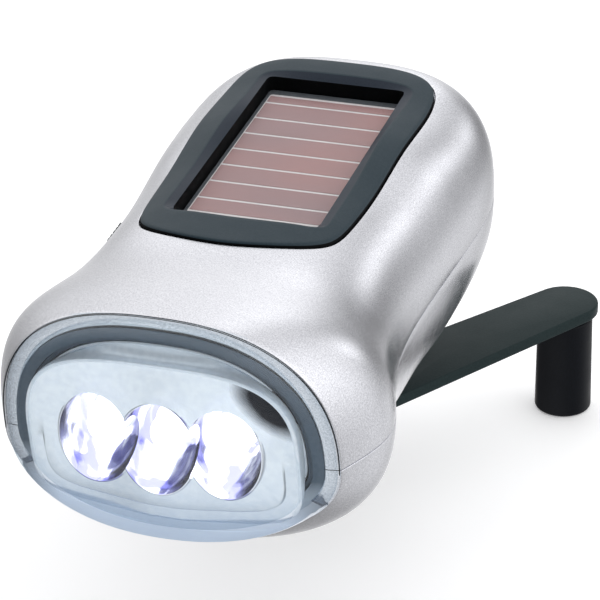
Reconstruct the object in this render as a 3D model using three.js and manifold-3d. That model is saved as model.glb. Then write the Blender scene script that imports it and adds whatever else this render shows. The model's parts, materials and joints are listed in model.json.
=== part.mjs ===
// Hand-cranked solar torch: two-part body, three-lamp head, solar window, folding crank, gear
// train, generator, battery and switch. Millimetres. +Z is up, the lens looks along -Y and the
// tail along +Y. Sizes are written round the middle of the seam between lens and body: there
// y is 0, and z is 0 in the plane where the two body shells meet.
import * as THREE from 'three';
import { mergeVertices } from 'three/addons/utils/BufferGeometryUtils.js';
import Module from 'manifold-3d';

const wasm = await Module();
wasm.setup();

// Clearances
const FIT = 0.3;
const OVERRUN = 5;
const PARTING_GAP = 0.3;
const SEAM_GAP = 0.3;

// Body form: half-width, height above and depth below the parting plane
const BODY_LENGTH = 103.2;
const HEAD_HALF_WIDTH = 28;
const BACK_RISE = 21;
const BELLY_DEPTH = 21.5;
const WALL = 2.2;
const STATION_SHARES = [0, 0.1, 0.22, 0.36, 0.5, 0.64, 0.78, 1];
const WIDTH_SHARES = [0.866, 1, 0.921, 0.843, 0.85, 0.88, 0.92, 1.115];
const RISE_SHARES = [1.084, 1.008, 0.912, 0.916, 0.902, 0.929, 0.894, 1.311];
const DEPTH_SHARES = [0.594, 0.9, 0.698, 0.966, 0.989, 1.009, 0.893, 0.83];
const UPPER_SQUARENESS = [2.35, 2.97];
const LOWER_SQUARENESS = [2.31, 2.66];
const TAIL_START_SHARE = 0.69;
const TAIL_ROUNDNESS = 2.35;
const SEAM_LEAN_SHARE = -0.138;
const SEAM_SWEEP = 1.85;
const RING_POINTS = 32;
const BODY_RINGS = 17;
const END_CROWDING_SHARE = 0.6;

// Lens and lamp
const LENS_DEPTH = 5.6;
const LENS_SWEEP = 3.4;
const LENS_WALL = 1.5;
const LENS_EDGE_SHARPNESS = 12;
const LENS_EDGE_ROUNDNESS = 2.2;
const LENS_RING_SHARES = [0.985, 0.94, 0.8, 0.45];
const SPIGOT_LENGTH = 2.6;
const SPIGOT_WALL = 1.3;
const PLATE_HALF_WIDTH = 19.5;
const PLATE_RISE = 19.5;
const PLATE_DROP = 8.5;
const PLATE_FRONT_Y = -3.2;
const PLATE_CROWN = 5.4;
const PLATE_THICKNESS = 1.4;
const PLATE_RING_SHARES = [1, 0.55];
const FRAME_FRONT_Y = -0.6;
const FRAME_FLANGE_Y = 3.6;
const FRAME_BACK_Y = 5.6;
const FRAME_INSET = 4.6;
const LAMP_PITCH = 9.1;
const LAMP_Z = 2.7;
const CUP_RADIUS = 5.3;
const CUP_HEIGHT_SHARE = 1.25;
const CUP_DEPTH = 8.4;
const CUP_WALL = 0.9;
const CUP_SEGMENTS = 18;
const LED_RADIUS = 2.5;
const LED_LENGTH = 6.6;
const LED_FLANGE_RADIUS = 2.8;
const LED_FLANGE_THICKNESS = 1;
const LED_DOME_STEPS = 5;
const LED_SEGMENTS = 12;
const BOARD_THICKNESS = 1.2;
const LED_BOARD_HALF_WIDTH = 14;
const LED_BOARD_HALF_HEIGHT = 5.2;

// Solar window
const BEZEL_FRONT_Y = 26;
const BEZEL_TAIL_MARGIN = 11.5;
const BEZEL_BACK_Y = BODY_LENGTH - BEZEL_TAIL_MARGIN;
const BEZEL_FRONT_HALF_WIDTH = 17.5;
const BEZEL_BACK_HALF_WIDTH = 19.1;
const BEZEL_WAIST = 2.5;
const BEZEL_SQUARENESS = 3.74;
const BEZEL_POINTS = 36;
const BEZEL_PROUD = 0.9;
const BEZEL_THICKNESS = 1.8;
const LEDGE_WIDTH = 1.6;
const WINDOW_HALF_WIDTH = 10.9;
const WINDOW_FRONT_Y = 38.2;
const WINDOW_BACK_MARGIN = 6.3;
const WINDOW_BACK_Y = BEZEL_BACK_Y - WINDOW_BACK_MARGIN;
const WINDOW_CORNER = 1.6;
const WINDOW_BEVEL = 0.7;
const CORNER_POINTS = 4;
const PANEL_TOP_Z = 16.1;
const GLASS_THICKNESS = 1.1;
const CELL_THICKNESS = 0.5;
const TRAY_FLOOR = 1;
const TRAY_WALL = 1.2;
const LEAD_HOLE_RADIUS = 1.6;
const SOLAR_LEAD_X = 2.4;
const SOLAR_LEAD_Y = 43;

// Crank
const CRANK_Y = 55.3;
const CRANK_ANGLE = THREE.MathUtils.degToRad(55.2);
const ARM_TOP_Z = -25;
const ARM_THICKNESS = 1.9;
const ARM_REACH = 58.1;
const ARM_END_RADIUS = 5.3;
const ARM_ROOT_RADIUS = 7.2;
const ARM_ARC_POINTS = 14;
const HINGE_REACH = 9.5;
const HINGE_Z = -23.1;
const EYE_RADIUS = 1.7;
const HINGE_PIN_RADIUS = 0.9;
const ARM_BOSS_RADIUS = 3;
const ARM_BOSS_HEIGHT = 0.35;
const KNOB_TOP_RADIUS = 4.46;
const KNOB_FOOT_RADIUS = 4.62;
const KNOB_HEIGHT = 16.8;
const KNOB_EDGE = 0.5;
const KNOB_BORE_RADIUS = 1.7;
const KNOB_RECESS_RADIUS = 2.9;
const KNOB_RECESS_DEPTH = 1.7;
const KNOB_SEGMENTS = 24;
const SPINDLE_RADIUS = 1.4;
const SPINDLE_HEAD_RADIUS = 2.5;
const SPINDLE_HEAD_HEIGHT = 0.9;
const HUB_RADIUS = 14;
const HUB_BOTTOM_Z = -24.6;
const HUB_TOP_Z = -17.6;
const HUB_FLOOR = 1.4;
const HUB_SEGMENTS = 28;
const SHAFT_RADIUS = 3;
const SHAFT_TOP_Z = -15.3;
const TENON_HALF = 1.8;
const TENON_HEIGHT = 0.8;
const CRANK_SCREW_LENGTH = 4.2;
const CRANK_SCREW_HEAD = 0.8;
const CRANK_SCREW_SINK = 0.5;
const POCKET_FLOOR = 1.4;
const POCKET_WALL = 1.2;
const BUSH_WALL = 1.3;
const BUSH_FLANGE = 1.4;
const BUSH_FLANGE_THICKNESS = 0.3;

// Gear train: two axes, each wheel drives the pinion on the other axis
const MODULE = 0.875;
const WHEEL_TEETH = 32;
const PINION_TEETH = 8;
const WHEEL_THICKNESS = 2.1;
const LEVEL_STEP = 3;
const FIRST_LEVEL_Z = -15;
const TOOTH_ROOT_SHARE = 0.31;
const TOOTH_TIP_SHARE = 0.14;
const ADDENDUM_SHARE = 0.85;
const DEDENDUM_SHARE = 1.2;
const AXLE_RADIUS = 1;
const AXLE_SOCKET_DEPTH = 1.6;
const AXLE_BOSS_RADIUS = 2.6;
const SMALL_SEGMENTS = 12;

// Generator, on the rear axis
const CHASSIS_Z = 0.6;
const CHASSIS_THICKNESS = 1.4;
const STATOR_RADIUS = 12.2;
const STATOR_HEIGHT = 9;
const STATOR_WALL = 0.9;
const STATOR_CAP = 0.8;
const COIL_BUILD = 3.4;
const ROTOR_GAP = 0.7;
const SLEEVE_RADIUS = 2.6;
const ROUND_SEGMENTS = 24;

// Chassis plate, circuit board, battery and switch
const CHASSIS_FRONT_Y = 15.5;
const CHASSIS_SHOULDER_Y = 33;
const CHASSIS_TAIL_MARGIN = 17.2;
const CHASSIS_BACK_Y = BODY_LENGTH - CHASSIS_TAIL_MARGIN;
const CHASSIS_FRONT_HALF_WIDTH = 14;
const CHASSIS_HALF_WIDTH = 20.4;
const CHASSIS_BACK_HALF_WIDTH = 14.5;
const CHASSIS_TAPER_LENGTH = 18;
const CHASSIS_TAPER_Y = CHASSIS_BACK_Y - CHASSIS_TAPER_LENGTH;
const POST_RADIUS = 2.3;
const POST_FRONT_X = 17;
const POST_BACK_X = 18;
const POST_FRONT_Y = 37;
const POST_BACK_Y = 64;
const SCREW_RADIUS = 1;
const SCREW_HEAD_RADIUS = 2.1;
const SCREW_HEAD_HEIGHT = 1.3;
const SCREW_SLOT_WIDTH = 0.6;
const SCREW_SLOT_DEPTH = 0.5;
const SCREW_SEGMENTS = 8;
const CHASSIS_SCREW_LENGTH = 7;
const CIRCUIT_FRONT_Y = 34;
const CIRCUIT_BACK_Y = 58;
const CIRCUIT_HALF_WIDTH = 12;
const STANDOFF_HEIGHT = 3;
const STANDOFF_RADIUS = 1.6;
const STANDOFF_MARGIN = 2.4;
const CAPACITOR_RADIUS = 2.5;
const CAPACITOR_HEIGHT = 5;
const CAPACITOR_X = 7.5;
const CAPACITOR_Y = 52;
const RECTIFIER_WIDTH = 6;
const RECTIFIER_LENGTH = 5;
const RECTIFIER_HEIGHT = 2;
const RECTIFIER_X = -6;
const RECTIFIER_Y = 50;
const CELL_RADIUS = 6.2;
const CELL_LENGTH = 5.4;
const CELL_COUNT = 3;
const CELL_Y = 24;
const CRADLE_FLOOR = 0.6;
const CRADLE_HEIGHT = 4;
const CRADLE_WALL = 1.3;
const CONTACT_THICKNESS = 0.5;
const SWITCH_Y = 50.3;
const SWITCH_LENGTH = 12;
const SWITCH_DEPTH = 4.6;
const SWITCH_HEIGHT = 4.6;
const SWITCH_TRAVEL = 4;
const SWITCH_X = -20.3;
const STEM_LENGTH = 3;
const STEM_HEIGHT = 2.4;
const STEM_REACH = 1.8;
const CAP_LENGTH = 6;
const CAP_HEIGHT = 4.4;
const CAP_PROUD_X = -24.3;
const RECESS_X = -22.7;
const RECESS_MARGIN = 0.7;
const CAP_RIB_COUNT = 4;
const CAP_RIB_DEPTH = 0.4;

// Housing screws and leads
const HOUSING_SCREW_X = 19;
const HOUSING_SCREW_FRONT_Y = 13;
const HOUSING_SCREW_TAIL_MARGIN = 13.2;
const HOUSING_SCREW_BACK_Y = BODY_LENGTH - HOUSING_SCREW_TAIL_MARGIN;
const BOSS_RADIUS = 3.2;
const BOSS_TOP_Z = 12.5;
const BOSS_SKIN = 0.8;
const SCREW_SEAT_Z = -7;
const HOUSING_SCREW_LENGTH = 15;
const LEAD_RADIUS = 0.5;
const LEAD_SIDES = 5;
const LEAD_STEPS = 9;

// Materials: colour, roughness, metalness
const SILVER = [0xc3c4c8, 0.34, 0.75];
const CLEAR = [0xdfe8f0, 0.08, 0];
const MIRROR = [0xe8ecf2, 0.12, 1];
const DARK_FRAME = [0x3a4550, 0.45, 0];
const SLATE = [0x3b464d, 0.55, 0];
const GLASS = [0xa9b0b4, 0.05, 0];
const CELL = [0xa88484, 0.4, 0.1];
const DARK_PLASTIC = [0x2b3636, 0.5, 0];
const BLACK_PLASTIC = [0x15191a, 0.5, 0];
const STEEL = [0xb8bcc0, 0.3, 1];
const BRASS = [0xb99a52, 0.35, 1];
const GEAR_PLASTIC = [0xe8e4d8, 0.5, 0];
const BOARD_GREEN = [0x2f6b45, 0.6, 0];
const COPPER = [0xb3683a, 0.35, 0.9];
const MAGNET = [0x4a4c50, 0.5, 0.6];
const LEAD_RED = [0xa82a22, 0.55, 0];
const LEAD_BLACK = [0x1c1c1e, 0.55, 0];

// Solids: three.js geometry turned into manifold-3d solids and back
function toSolid(geometry) {
  geometry.deleteAttribute('normal');
  geometry.deleteAttribute('uv');
  const merged = mergeVertices(geometry);
  return new wasm.Manifold(new wasm.Mesh({
    numProp: 3,
    vertProperties: new Float32Array(merged.attributes.position.array),
    triVerts: new Uint32Array(merged.index.array),
  }));
}

function toGeometry(solid) {
  const mesh = solid.getMesh();
  const geometry = new THREE.BufferGeometry();
  geometry.setAttribute('position', new THREE.BufferAttribute(new Float32Array(mesh.vertProperties), 3));
  geometry.setIndex(new THREE.BufferAttribute(new Uint32Array(mesh.triVerts), 1));
  geometry.computeVertexNormals();
  return geometry;
}

const join = (...solids) => solids.reduce((whole, next) => whole.add(next));
const cut = (solid, ...tools) => tools.reduce((left, tool) => left.subtract(tool), solid);

function block(xs, ys, zs) {
  const geometry = new THREE.BoxGeometry(xs[1] - xs[0], ys[1] - ys[0], zs[1] - zs[0]);
  geometry.translate((xs[0] + xs[1]) / 2, (ys[0] + ys[1]) / 2, (zs[0] + zs[1]) / 2);
  return toSolid(geometry);
}

function disc(radius, zs, place = [0, 0], segments = SMALL_SEGMENTS) {
  const geometry = new THREE.CylinderGeometry(radius, radius, zs[1] - zs[0], segments);
  geometry.rotateX(Math.PI / 2);
  geometry.translate(place[0], place[1], (zs[0] + zs[1]) / 2);
  return toSolid(geometry);
}

function prism(points, zs) {
  const shape = new THREE.Shape(points.map(([x, y]) => new THREE.Vector2(x, y)));
  const geometry = new THREE.ExtrudeGeometry(shape, { depth: zs[1] - zs[0], bevelEnabled: false });
  geometry.translate(0, 0, zs[0]);
  return toSolid(geometry);
}

function turned(profile, segments) {
  const points = profile.map(([radius, z]) => new THREE.Vector2(radius, z));
  const geometry = new THREE.LatheGeometry(points, segments);
  geometry.rotateX(Math.PI / 2);
  return toSolid(geometry);
}

// A closed skin through rings of equal point counts, closed by a fan at each end
function loft(rings, startTip, endTip) {
  if (startTip.y > endTip.y) {
    return loft([...rings].reverse(), endTip, startTip);
  }
  const count = rings[0].length;
  const positions = rings.flat().flatMap((point) => point.toArray());
  const start = rings.length * count;
  positions.push(...startTip.toArray(), ...endTip.toArray());
  const faces = [];
  for (let ring = 0; ring + 1 < rings.length; ring += 1) {
    for (let i = 0; i < count; i += 1) {
      const a = ring * count + i;
      const b = ring * count + ((i + 1) % count);
      faces.push(a, a + count, b, b, a + count, b + count);
    }
  }
  const last = (rings.length - 1) * count;
  for (let i = 0; i < count; i += 1) {
    const next = (i + 1) % count;
    faces.push(start, i, next, start + 1, last + next, last + i);
  }
  const geometry = new THREE.BufferGeometry();
  geometry.setAttribute('position', new THREE.Float32BufferAttribute(positions, 3));
  geometry.setIndex(faces);
  return toSolid(geometry);
}

// A natural cubic spline through values at the station shares
function naturalSpline(places, values) {
  const n = places.length;
  const gaps = places.slice(1).map((place, i) => place - places[i]);
  const upper = new Array(n).fill(0);
  const bend = new Array(n).fill(0);
  for (let i = 1; i < n - 1; i += 1) {
    const pull = 6 * ((values[i + 1] - values[i]) / gaps[i] - (values[i] - values[i - 1]) / gaps[i - 1]);
    const pivot = 2 * (gaps[i - 1] + gaps[i]) - gaps[i - 1] * upper[i - 1];
    upper[i] = gaps[i] / pivot;
    bend[i] = (pull - gaps[i - 1] * bend[i - 1]) / pivot;
  }
  for (let i = n - 2; i > 0; i -= 1) {
    bend[i] -= upper[i] * bend[i + 1];
  }
  return (at) => {
    const i = Math.min(n - 2, Math.max(0, places.findIndex((place) => place > at) - 1));
    const k = at >= places[n - 1] ? n - 2 : i;
    const left = at - places[k];
    const right = places[k + 1] - at;
    return (bend[k] * right ** 3 + bend[k + 1] * left ** 3) / (6 * gaps[k])
      + (values[k] / gaps[k] - bend[k] * gaps[k] / 6) * right
      + (values[k + 1] / gaps[k] - bend[k + 1] * gaps[k] / 6) * left;
  };
}

const widthAt = naturalSpline(STATION_SHARES, WIDTH_SHARES);
const riseAt = naturalSpline(STATION_SHARES, RISE_SHARES);
const depthAt = naturalSpline(STATION_SHARES, DEPTH_SHARES);
const blend = (pair, share) => pair[0] + (pair[1] - pair[0]) * share;
const rounded = (value, power) => Math.sign(value) * Math.abs(value) ** power;

// Half-width, rise and depth of the body at a share of its length, drawn in by an inset
function section(share, inset) {
  const tail = THREE.MathUtils.clamp((share - TAIL_START_SHARE) / (1 - TAIL_START_SHARE), 0, 1);
  const closing = Math.max(1 - tail ** TAIL_ROUNDNESS, 0) ** (1 / TAIL_ROUNDNESS);
  const station = Math.max(share, 0);
  return {
    width: (HEAD_HALF_WIDTH * widthAt(station) - inset) * closing,
    rise: (BACK_RISE * riseAt(station) - inset) * closing,
    depth: (BELLY_DEPTH * depthAt(station) - inset) * closing,
  };
}

const seamHalfWidth = HEAD_HALF_WIDTH * WIDTH_SHARES[0];
const seamY = (x, z) => SEAM_LEAN_SHARE * z + SEAM_SWEEP * (x / seamHalfWidth) ** 2;

function bodyRing(share, inset, shift = 0) {
  const { width, rise, depth } = section(share, inset);
  const fade = (1 - Math.max(share, 0)) ** 2;
  return Array.from({ length: RING_POINTS }, (_, i) => {
    const angle = (2 * Math.PI * i) / RING_POINTS;
    const upward = Math.sin(angle) >= 0;
    const power = 2 / blend(upward ? UPPER_SQUARENESS : LOWER_SQUARENESS, Math.max(share, 0));
    const x = width * rounded(Math.cos(angle), power);
    const z = (upward ? rise : depth) * rounded(Math.sin(angle), power);
    return new THREE.Vector3(x, share * (BODY_LENGTH - inset) + seamY(x, z) * fade + shift, z);
  });
}

// A ring that follows the body's wall at a depth behind the seam
const mouthRing = (depth, inset) => bodyRing(depth / (BODY_LENGTH - inset), inset);

// The body's closed form; an inset copy reaches forward past the seam when told to
function bodyForm(inset, forward = 0) {
  const rings = [];
  if (forward > 0) {
    rings.push(bodyRing(0, inset, -forward));
  }
  for (let i = 0; i < BODY_RINGS; i += 1) {
    const step = i / BODY_RINGS;
    rings.push(bodyRing(step - END_CROWDING_SHARE * Math.sin(2 * Math.PI * step) / (2 * Math.PI), inset));
  }
  const tail = new THREE.Vector3(0, BODY_LENGTH - inset, 0);
  return loft(rings, new THREE.Vector3(0, -forward, 0), tail);
}

// Four places in plan, two in front and two behind, alike on both sides
const fourPlaces = (frontX, frontY, backX, backY) => [
  [-frontX, frontY], [frontX, frontY], [-backX, backY], [backX, backY],
];
const housingScrewPlaces = fourPlaces(HOUSING_SCREW_X, HOUSING_SCREW_FRONT_Y,
  HOUSING_SCREW_X, HOUSING_SCREW_BACK_Y);
const postPlaces = fourPlaces(POST_FRONT_X, POST_FRONT_Y, POST_BACK_X, POST_BACK_Y);

const outerForm = bodyForm(0);
const innerForm = bodyForm(WALL, OVERRUN);
const reach = 2 * BODY_LENGTH;

// Solar window outlines
function bezelOutline(margin) {
  const middle = (BEZEL_FRONT_Y + BEZEL_BACK_Y) / 2;
  const half = (BEZEL_BACK_Y - BEZEL_FRONT_Y) / 2 + margin;
  return Array.from({ length: BEZEL_POINTS }, (_, i) => {
    const angle = (2 * Math.PI * i) / BEZEL_POINTS;
    const across = rounded(Math.cos(angle), 2 / BEZEL_SQUARENESS);
    const along = rounded(Math.sin(angle), 2 / BEZEL_SQUARENESS);
    const halfWidth = blend([BEZEL_FRONT_HALF_WIDTH, BEZEL_BACK_HALF_WIDTH], (along + 1) / 2)
      - BEZEL_WAIST * (1 - along ** 2) + margin;
    return [halfWidth * across, middle + half * along];
  });
}

function windowOutline(margin) {
  const corner = WINDOW_CORNER + margin;
  const points = [];
  const turns = [[1, 1], [-1, 1], [-1, -1], [1, -1]];
  turns.forEach(([sideX, sideY], turn) => {
    const centreX = sideX * (WINDOW_HALF_WIDTH - WINDOW_CORNER);
    const centreY = sideY > 0 ? WINDOW_BACK_Y - WINDOW_CORNER : WINDOW_FRONT_Y + WINDOW_CORNER;
    for (let i = 0; i <= CORNER_POINTS; i += 1) {
      const angle = (Math.PI / 2) * (turn + i / CORNER_POINTS);
      points.push([centreX + corner * Math.cos(angle), centreY + corner * Math.sin(angle)]);
    }
  });
  return points;
}

const trayTopZ = PANEL_TOP_Z - GLASS_THICKNESS - CELL_THICKNESS - 2 * FIT;
const trayBottomZ = trayTopZ - TRAY_FLOOR;

// Crank and gear places
const pitchRadius = (teeth) => (MODULE * teeth) / 2;
const AXIS_SPACING = pitchRadius(WHEEL_TEETH) + pitchRadius(PINION_TEETH);
const frontAxis = [0, CRANK_Y];
const rearAxis = [0, CRANK_Y + AXIS_SPACING];
const levelZ = (level) => FIRST_LEVEL_Z + LEVEL_STEP * level;
const pocketFloorZ = HUB_TOP_Z + FIT;
const hubGrooveHalf = ARM_ROOT_RADIUS + FIT;
const hubCeilingZ = HUB_TOP_Z - HUB_FLOOR;
const armBottomZ = ARM_TOP_Z - ARM_THICKNESS;
const knobTopZ = armBottomZ - ARM_BOSS_HEIGHT - FIT;
const knobFootZ = knobTopZ - KNOB_HEIGHT;
const stowedKnobY = CRANK_Y - (ARM_REACH - 2 * HINGE_REACH);
const stowedKnobTopZ = 2 * HINGE_Z - knobFootZ;
const knobPocketRadius = KNOB_FOOT_RADIUS + 2 * FIT;
const chassisTopZ = CHASSIS_Z + CHASSIS_THICKNESS;
const circuitZ = chassisTopZ + STANDOFF_HEIGHT;
const circuitTopZ = circuitZ + BOARD_THICKNESS;
const bushRadius = SHAFT_RADIUS + FIT + BUSH_WALL;

function upperShell() {
  const sky = block([-reach, reach], [-reach, reach], [PARTING_GAP / 2, reach]);
  const bosses = housingScrewPlaces.map((place) => disc(BOSS_RADIUS, [0, BOSS_TOP_Z], place)
    .intersect(bodyForm(BOSS_SKIN)));
  const pilots = housingScrewPlaces.map((place) => disc(
    SCREW_RADIUS + FIT, [-OVERRUN, SCREW_SEAT_Z + HOUSING_SCREW_LENGTH + FIT], place));
  const ledge = BEZEL_THICKNESS - BEZEL_PROUD + FIT;
  const recess = cut(prism(bezelOutline(FIT), [0, reach]), bodyForm(ledge));
  const opening = prism(bezelOutline(-LEDGE_WIDTH), [trayBottomZ - FIT, reach]);
  const { slot, recess: switchRecess } = switchCuts();
  const shell = join(cut(outerForm, innerForm), ...bosses).intersect(sky);
  return cut(shell, recess, opening, slot, switchRecess, ...pilots);
}

const switchZ = chassisTopZ + FIT + SWITCH_HEIGHT / 2;
const stemFrontY = SWITCH_Y - (SWITCH_TRAVEL + STEM_LENGTH) / 2;

function switchCuts() {
  const slotY = [stemFrontY - FIT, stemFrontY + STEM_LENGTH + SWITCH_TRAVEL + FIT];
  const slotZ = [switchZ - STEM_HEIGHT / 2 - FIT, switchZ + STEM_HEIGHT / 2 + FIT];
  const side = (CAP_LENGTH - STEM_LENGTH) / 2 + RECESS_MARGIN;
  const tall = CAP_HEIGHT / 2 + RECESS_MARGIN;
  return {
    slot: block([-reach, SWITCH_X], slotY, slotZ),
    inner: block([SWITCH_X - FIT, SWITCH_X + STEM_REACH + FIT], slotY, slotZ),
    recess: block([-reach, RECESS_X], [slotY[0] - side, slotY[1] + side],
      [switchZ - tall, switchZ + tall]),
  };
}

function lowerShell() {
  const ground = block([-reach, reach], [-reach, reach], [-reach, -PARTING_GAP / 2]);
  const hubPocketRadius = HUB_RADIUS + 2 * FIT;
  const floorTopZ = pocketFloorZ + POCKET_FLOOR;
  const channelHalf = ARM_ROOT_RADIUS + 2 * FIT;
  const channelTopZ = hubCeilingZ + FIT;
  const solids = [
    disc(hubPocketRadius + POCKET_WALL, [-reach, floorTopZ], frontAxis, HUB_SEGMENTS),
    disc(knobPocketRadius + POCKET_WALL, [-reach, stowedKnobTopZ + FIT + POCKET_WALL],
      [0, stowedKnobY], ROUND_SEGMENTS),
    block([-channelHalf - POCKET_WALL, channelHalf + POCKET_WALL], [stowedKnobY, CRANK_Y],
      [-reach, channelTopZ + POCKET_WALL]),
    disc(AXLE_BOSS_RADIUS, [-reach, FIRST_LEVEL_Z - FIT], rearAxis),
    ...postPlaces.map((place) => disc(POST_RADIUS, [-reach, CHASSIS_Z - FIT], place)),
    ...housingScrewPlaces.map((place) => disc(BOSS_RADIUS, [-reach, 0], place)),
  ].map((solid) => solid.intersect(bodyForm(BOSS_SKIN)));
  const hollows = [
    disc(hubPocketRadius, [-reach, pocketFloorZ], frontAxis, HUB_SEGMENTS),
    disc(bushRadius + FIT, [-reach, 0], frontAxis, ROUND_SEGMENTS),
    disc(knobPocketRadius, [-reach, stowedKnobTopZ + FIT], [0, stowedKnobY], ROUND_SEGMENTS),
    block([-channelHalf, channelHalf], [stowedKnobY - knobPocketRadius, CRANK_Y],
      [-reach, channelTopZ]),
    disc(AXLE_RADIUS + FIT, [FIRST_LEVEL_Z - AXLE_SOCKET_DEPTH - FIT, 0], rearAxis),
    ...postPlaces.map((place) => disc(SCREW_RADIUS + FIT,
      [chassisTopZ - CHASSIS_SCREW_LENGTH - FIT, reach], place)),
    ...housingScrewPlaces.map((place) => disc(SCREW_HEAD_RADIUS + FIT,
      [-reach, SCREW_SEAT_Z], place)),
    ...housingScrewPlaces.map((place) => disc(SCREW_RADIUS + FIT, [-reach, reach], place)),
  ];
  return cut(join(cut(outerForm, innerForm), ...solids).intersect(ground), ...hollows);
}

// Lens rings: the seam ring drawn in by a share and carried forward into a shallow dome
function lensRing(share, inset, depth) {
  const forward = depth * (1 - share ** LENS_EDGE_SHARPNESS) ** (1 / LENS_EDGE_ROUNDNESS);
  return bodyRing(0, inset).map(({ x, z }) => {
    const [nearX, nearZ] = [x * share, z * share];
    const sweep = (SEAM_SWEEP * share + LENS_SWEEP * share ** 2) * (x / seamHalfWidth) ** 2;
    return new THREE.Vector3(nearX, SEAM_LEAN_SHARE * nearZ + sweep - forward - SEAM_GAP, nearZ);
  });
}

const domeRings = (inset, depth) => LENS_RING_SHARES.map((share) => lensRing(share, inset, depth));

function lens() {
  const spigotInset = WALL + FIT;
  const outer = loft([
    mouthRing(SPIGOT_LENGTH, spigotInset),
    bodyRing(0, spigotInset, -SEAM_GAP),
    bodyRing(0, 0, -SEAM_GAP),
    ...domeRings(0, LENS_DEPTH),
  ], new THREE.Vector3(0, SPIGOT_LENGTH, 0), new THREE.Vector3(0, -LENS_DEPTH - SEAM_GAP, 0));
  const inner = loft([
    mouthRing(SPIGOT_LENGTH + OVERRUN, spigotInset + SPIGOT_WALL),
    bodyRing(0, spigotInset + SPIGOT_WALL),
    ...domeRings(LENS_WALL, LENS_DEPTH - LENS_WALL),
  ], new THREE.Vector3(0, SPIGOT_LENGTH + OVERRUN, 0),
  new THREE.Vector3(0, LENS_WALL - LENS_DEPTH - SEAM_GAP, 0));
  return cut(outer, inner);
}

// The reflector's oval outline, grown by a margin, at a share of its size
function plateRing(share, margin, y) {
  return Array.from({ length: RING_POINTS }, (_, i) => {
    const angle = (2 * Math.PI * i) / RING_POINTS;
    const upward = Math.sin(angle) >= 0;
    const power = 2 / (upward ? UPPER_SQUARENESS : LOWER_SQUARENESS)[0];
    const x = (PLATE_HALF_WIDTH + margin) * share * rounded(Math.cos(angle), power);
    const tall = (upward ? PLATE_RISE : PLATE_DROP) + margin;
    const z = tall * share * rounded(Math.sin(angle), power);
    return new THREE.Vector3(x, y(x, z), z);
  });
}

const plateY = (x, z) => PLATE_FRONT_Y + SEAM_LEAN_SHARE * z + PLATE_CROWN * (x / PLATE_HALF_WIDTH) ** 2;
const cupFloorY = PLATE_FRONT_Y + CUP_DEPTH;
const ledBoardY = cupFloorY + FIT;
const throatRadius = LED_FLANGE_RADIUS + FIT;
const lampPlaces = [-1, 0, 1].map((side) => {
  const x = side * LAMP_PITCH;
  return [x, plateY(x, LAMP_Z), LAMP_Z];
});

// An upright oval cup along +Y, opening at y = 0
function cup(mouthRadius, throatRadius, depth) {
  const geometry = new THREE.CylinderGeometry(mouthRadius, throatRadius, depth, CUP_SEGMENTS);
  geometry.translate(0, -depth / 2, 0);
  geometry.rotateX(Math.PI);
  geometry.scale(1, 1, CUP_HEIGHT_SHARE);
  return toSolid(geometry);
}

function reflector() {
  const back = (x, z) => plateY(x, z) + PLATE_THICKNESS;
  const rings = [
    ...[...PLATE_RING_SHARES].reverse().map((share) => plateRing(share, 0, back)),
    ...PLATE_RING_SHARES.map((share) => plateRing(share, 0, plateY)),
  ];
  const plate = loft(rings, new THREE.Vector3(0, back(0, 0), 0),
    new THREE.Vector3(0, plateY(0, 0), 0));
  const cups = lampPlaces.map(([x, y, z]) => {
    const frontY = y + PLATE_THICKNESS / 2;
    return cup(CUP_RADIUS + CUP_WALL, throatRadius + CUP_WALL, cupFloorY - frontY).translate([x, frontY, z]);
  });
  const mouths = lampPlaces.map(([x, y, z]) => cup(CUP_RADIUS, throatRadius, cupFloorY - y + 2 * FIT)
    .translate([x, y - FIT, z]));
  return cut(join(plate, ...cups), ...mouths);
}

function led() {
  const tip = LED_LENGTH - LED_RADIUS;
  const dome = Array.from({ length: LED_DOME_STEPS }, (_, i) => {
    const angle = (Math.PI / 2) * (i / LED_DOME_STEPS);
    return [LED_RADIUS * Math.cos(angle), tip + LED_RADIUS * Math.sin(angle)];
  });
  const profile = [[0, 0], [LED_FLANGE_RADIUS, 0], [LED_FLANGE_RADIUS, LED_FLANGE_THICKNESS],
    [LED_RADIUS, LED_FLANGE_THICKNESS], ...dome, [0, LED_LENGTH]];
  return turned(profile, LED_SEGMENTS).rotate([90, 0, 0]);
}

function ledBoard() {
  return block([-LED_BOARD_HALF_WIDTH, LED_BOARD_HALF_WIDTH],
    [ledBoardY, ledBoardY + BOARD_THICKNESS],
    [LAMP_Z - LED_BOARD_HALF_HEIGHT, LAMP_Z + LED_BOARD_HALF_HEIGHT]);
}

// Dark carrier: a ring round the reflector with a flange that fits the mouth of the body
function lampFrame() {
  const backInset = WALL + FIT;
  const body = loft([
    bodyRing(0, FRAME_INSET, FRAME_FRONT_Y),
    mouthRing(FRAME_FLANGE_Y, FRAME_INSET),
    mouthRing(FRAME_FLANGE_Y, backInset),
    mouthRing(FRAME_BACK_Y, backInset),
  ], new THREE.Vector3(0, FRAME_FRONT_Y, 0), new THREE.Vector3(0, FRAME_BACK_Y, 0));
  const well = loft([
    plateRing(1, FIT, (x, z) => plateY(x, z) - OVERRUN),
    plateRing(1, FIT, (x, z) => plateY(x, z) + PLATE_THICKNESS + FIT),
  ], new THREE.Vector3(0, PLATE_FRONT_Y - OVERRUN, 0),
  new THREE.Vector3(0, PLATE_FRONT_Y + PLATE_THICKNESS + FIT, 0));
  const shelf = loft([
    plateRing(1, -LEDGE_WIDTH, (x, z) => plateY(x, z)),
    plateRing(1, -LEDGE_WIDTH, () => FRAME_BACK_Y + OVERRUN),
  ], new THREE.Vector3(0, PLATE_FRONT_Y, 0), new THREE.Vector3(0, FRAME_BACK_Y + OVERRUN, 0));
  return cut(body, well, shelf);
}

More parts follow.
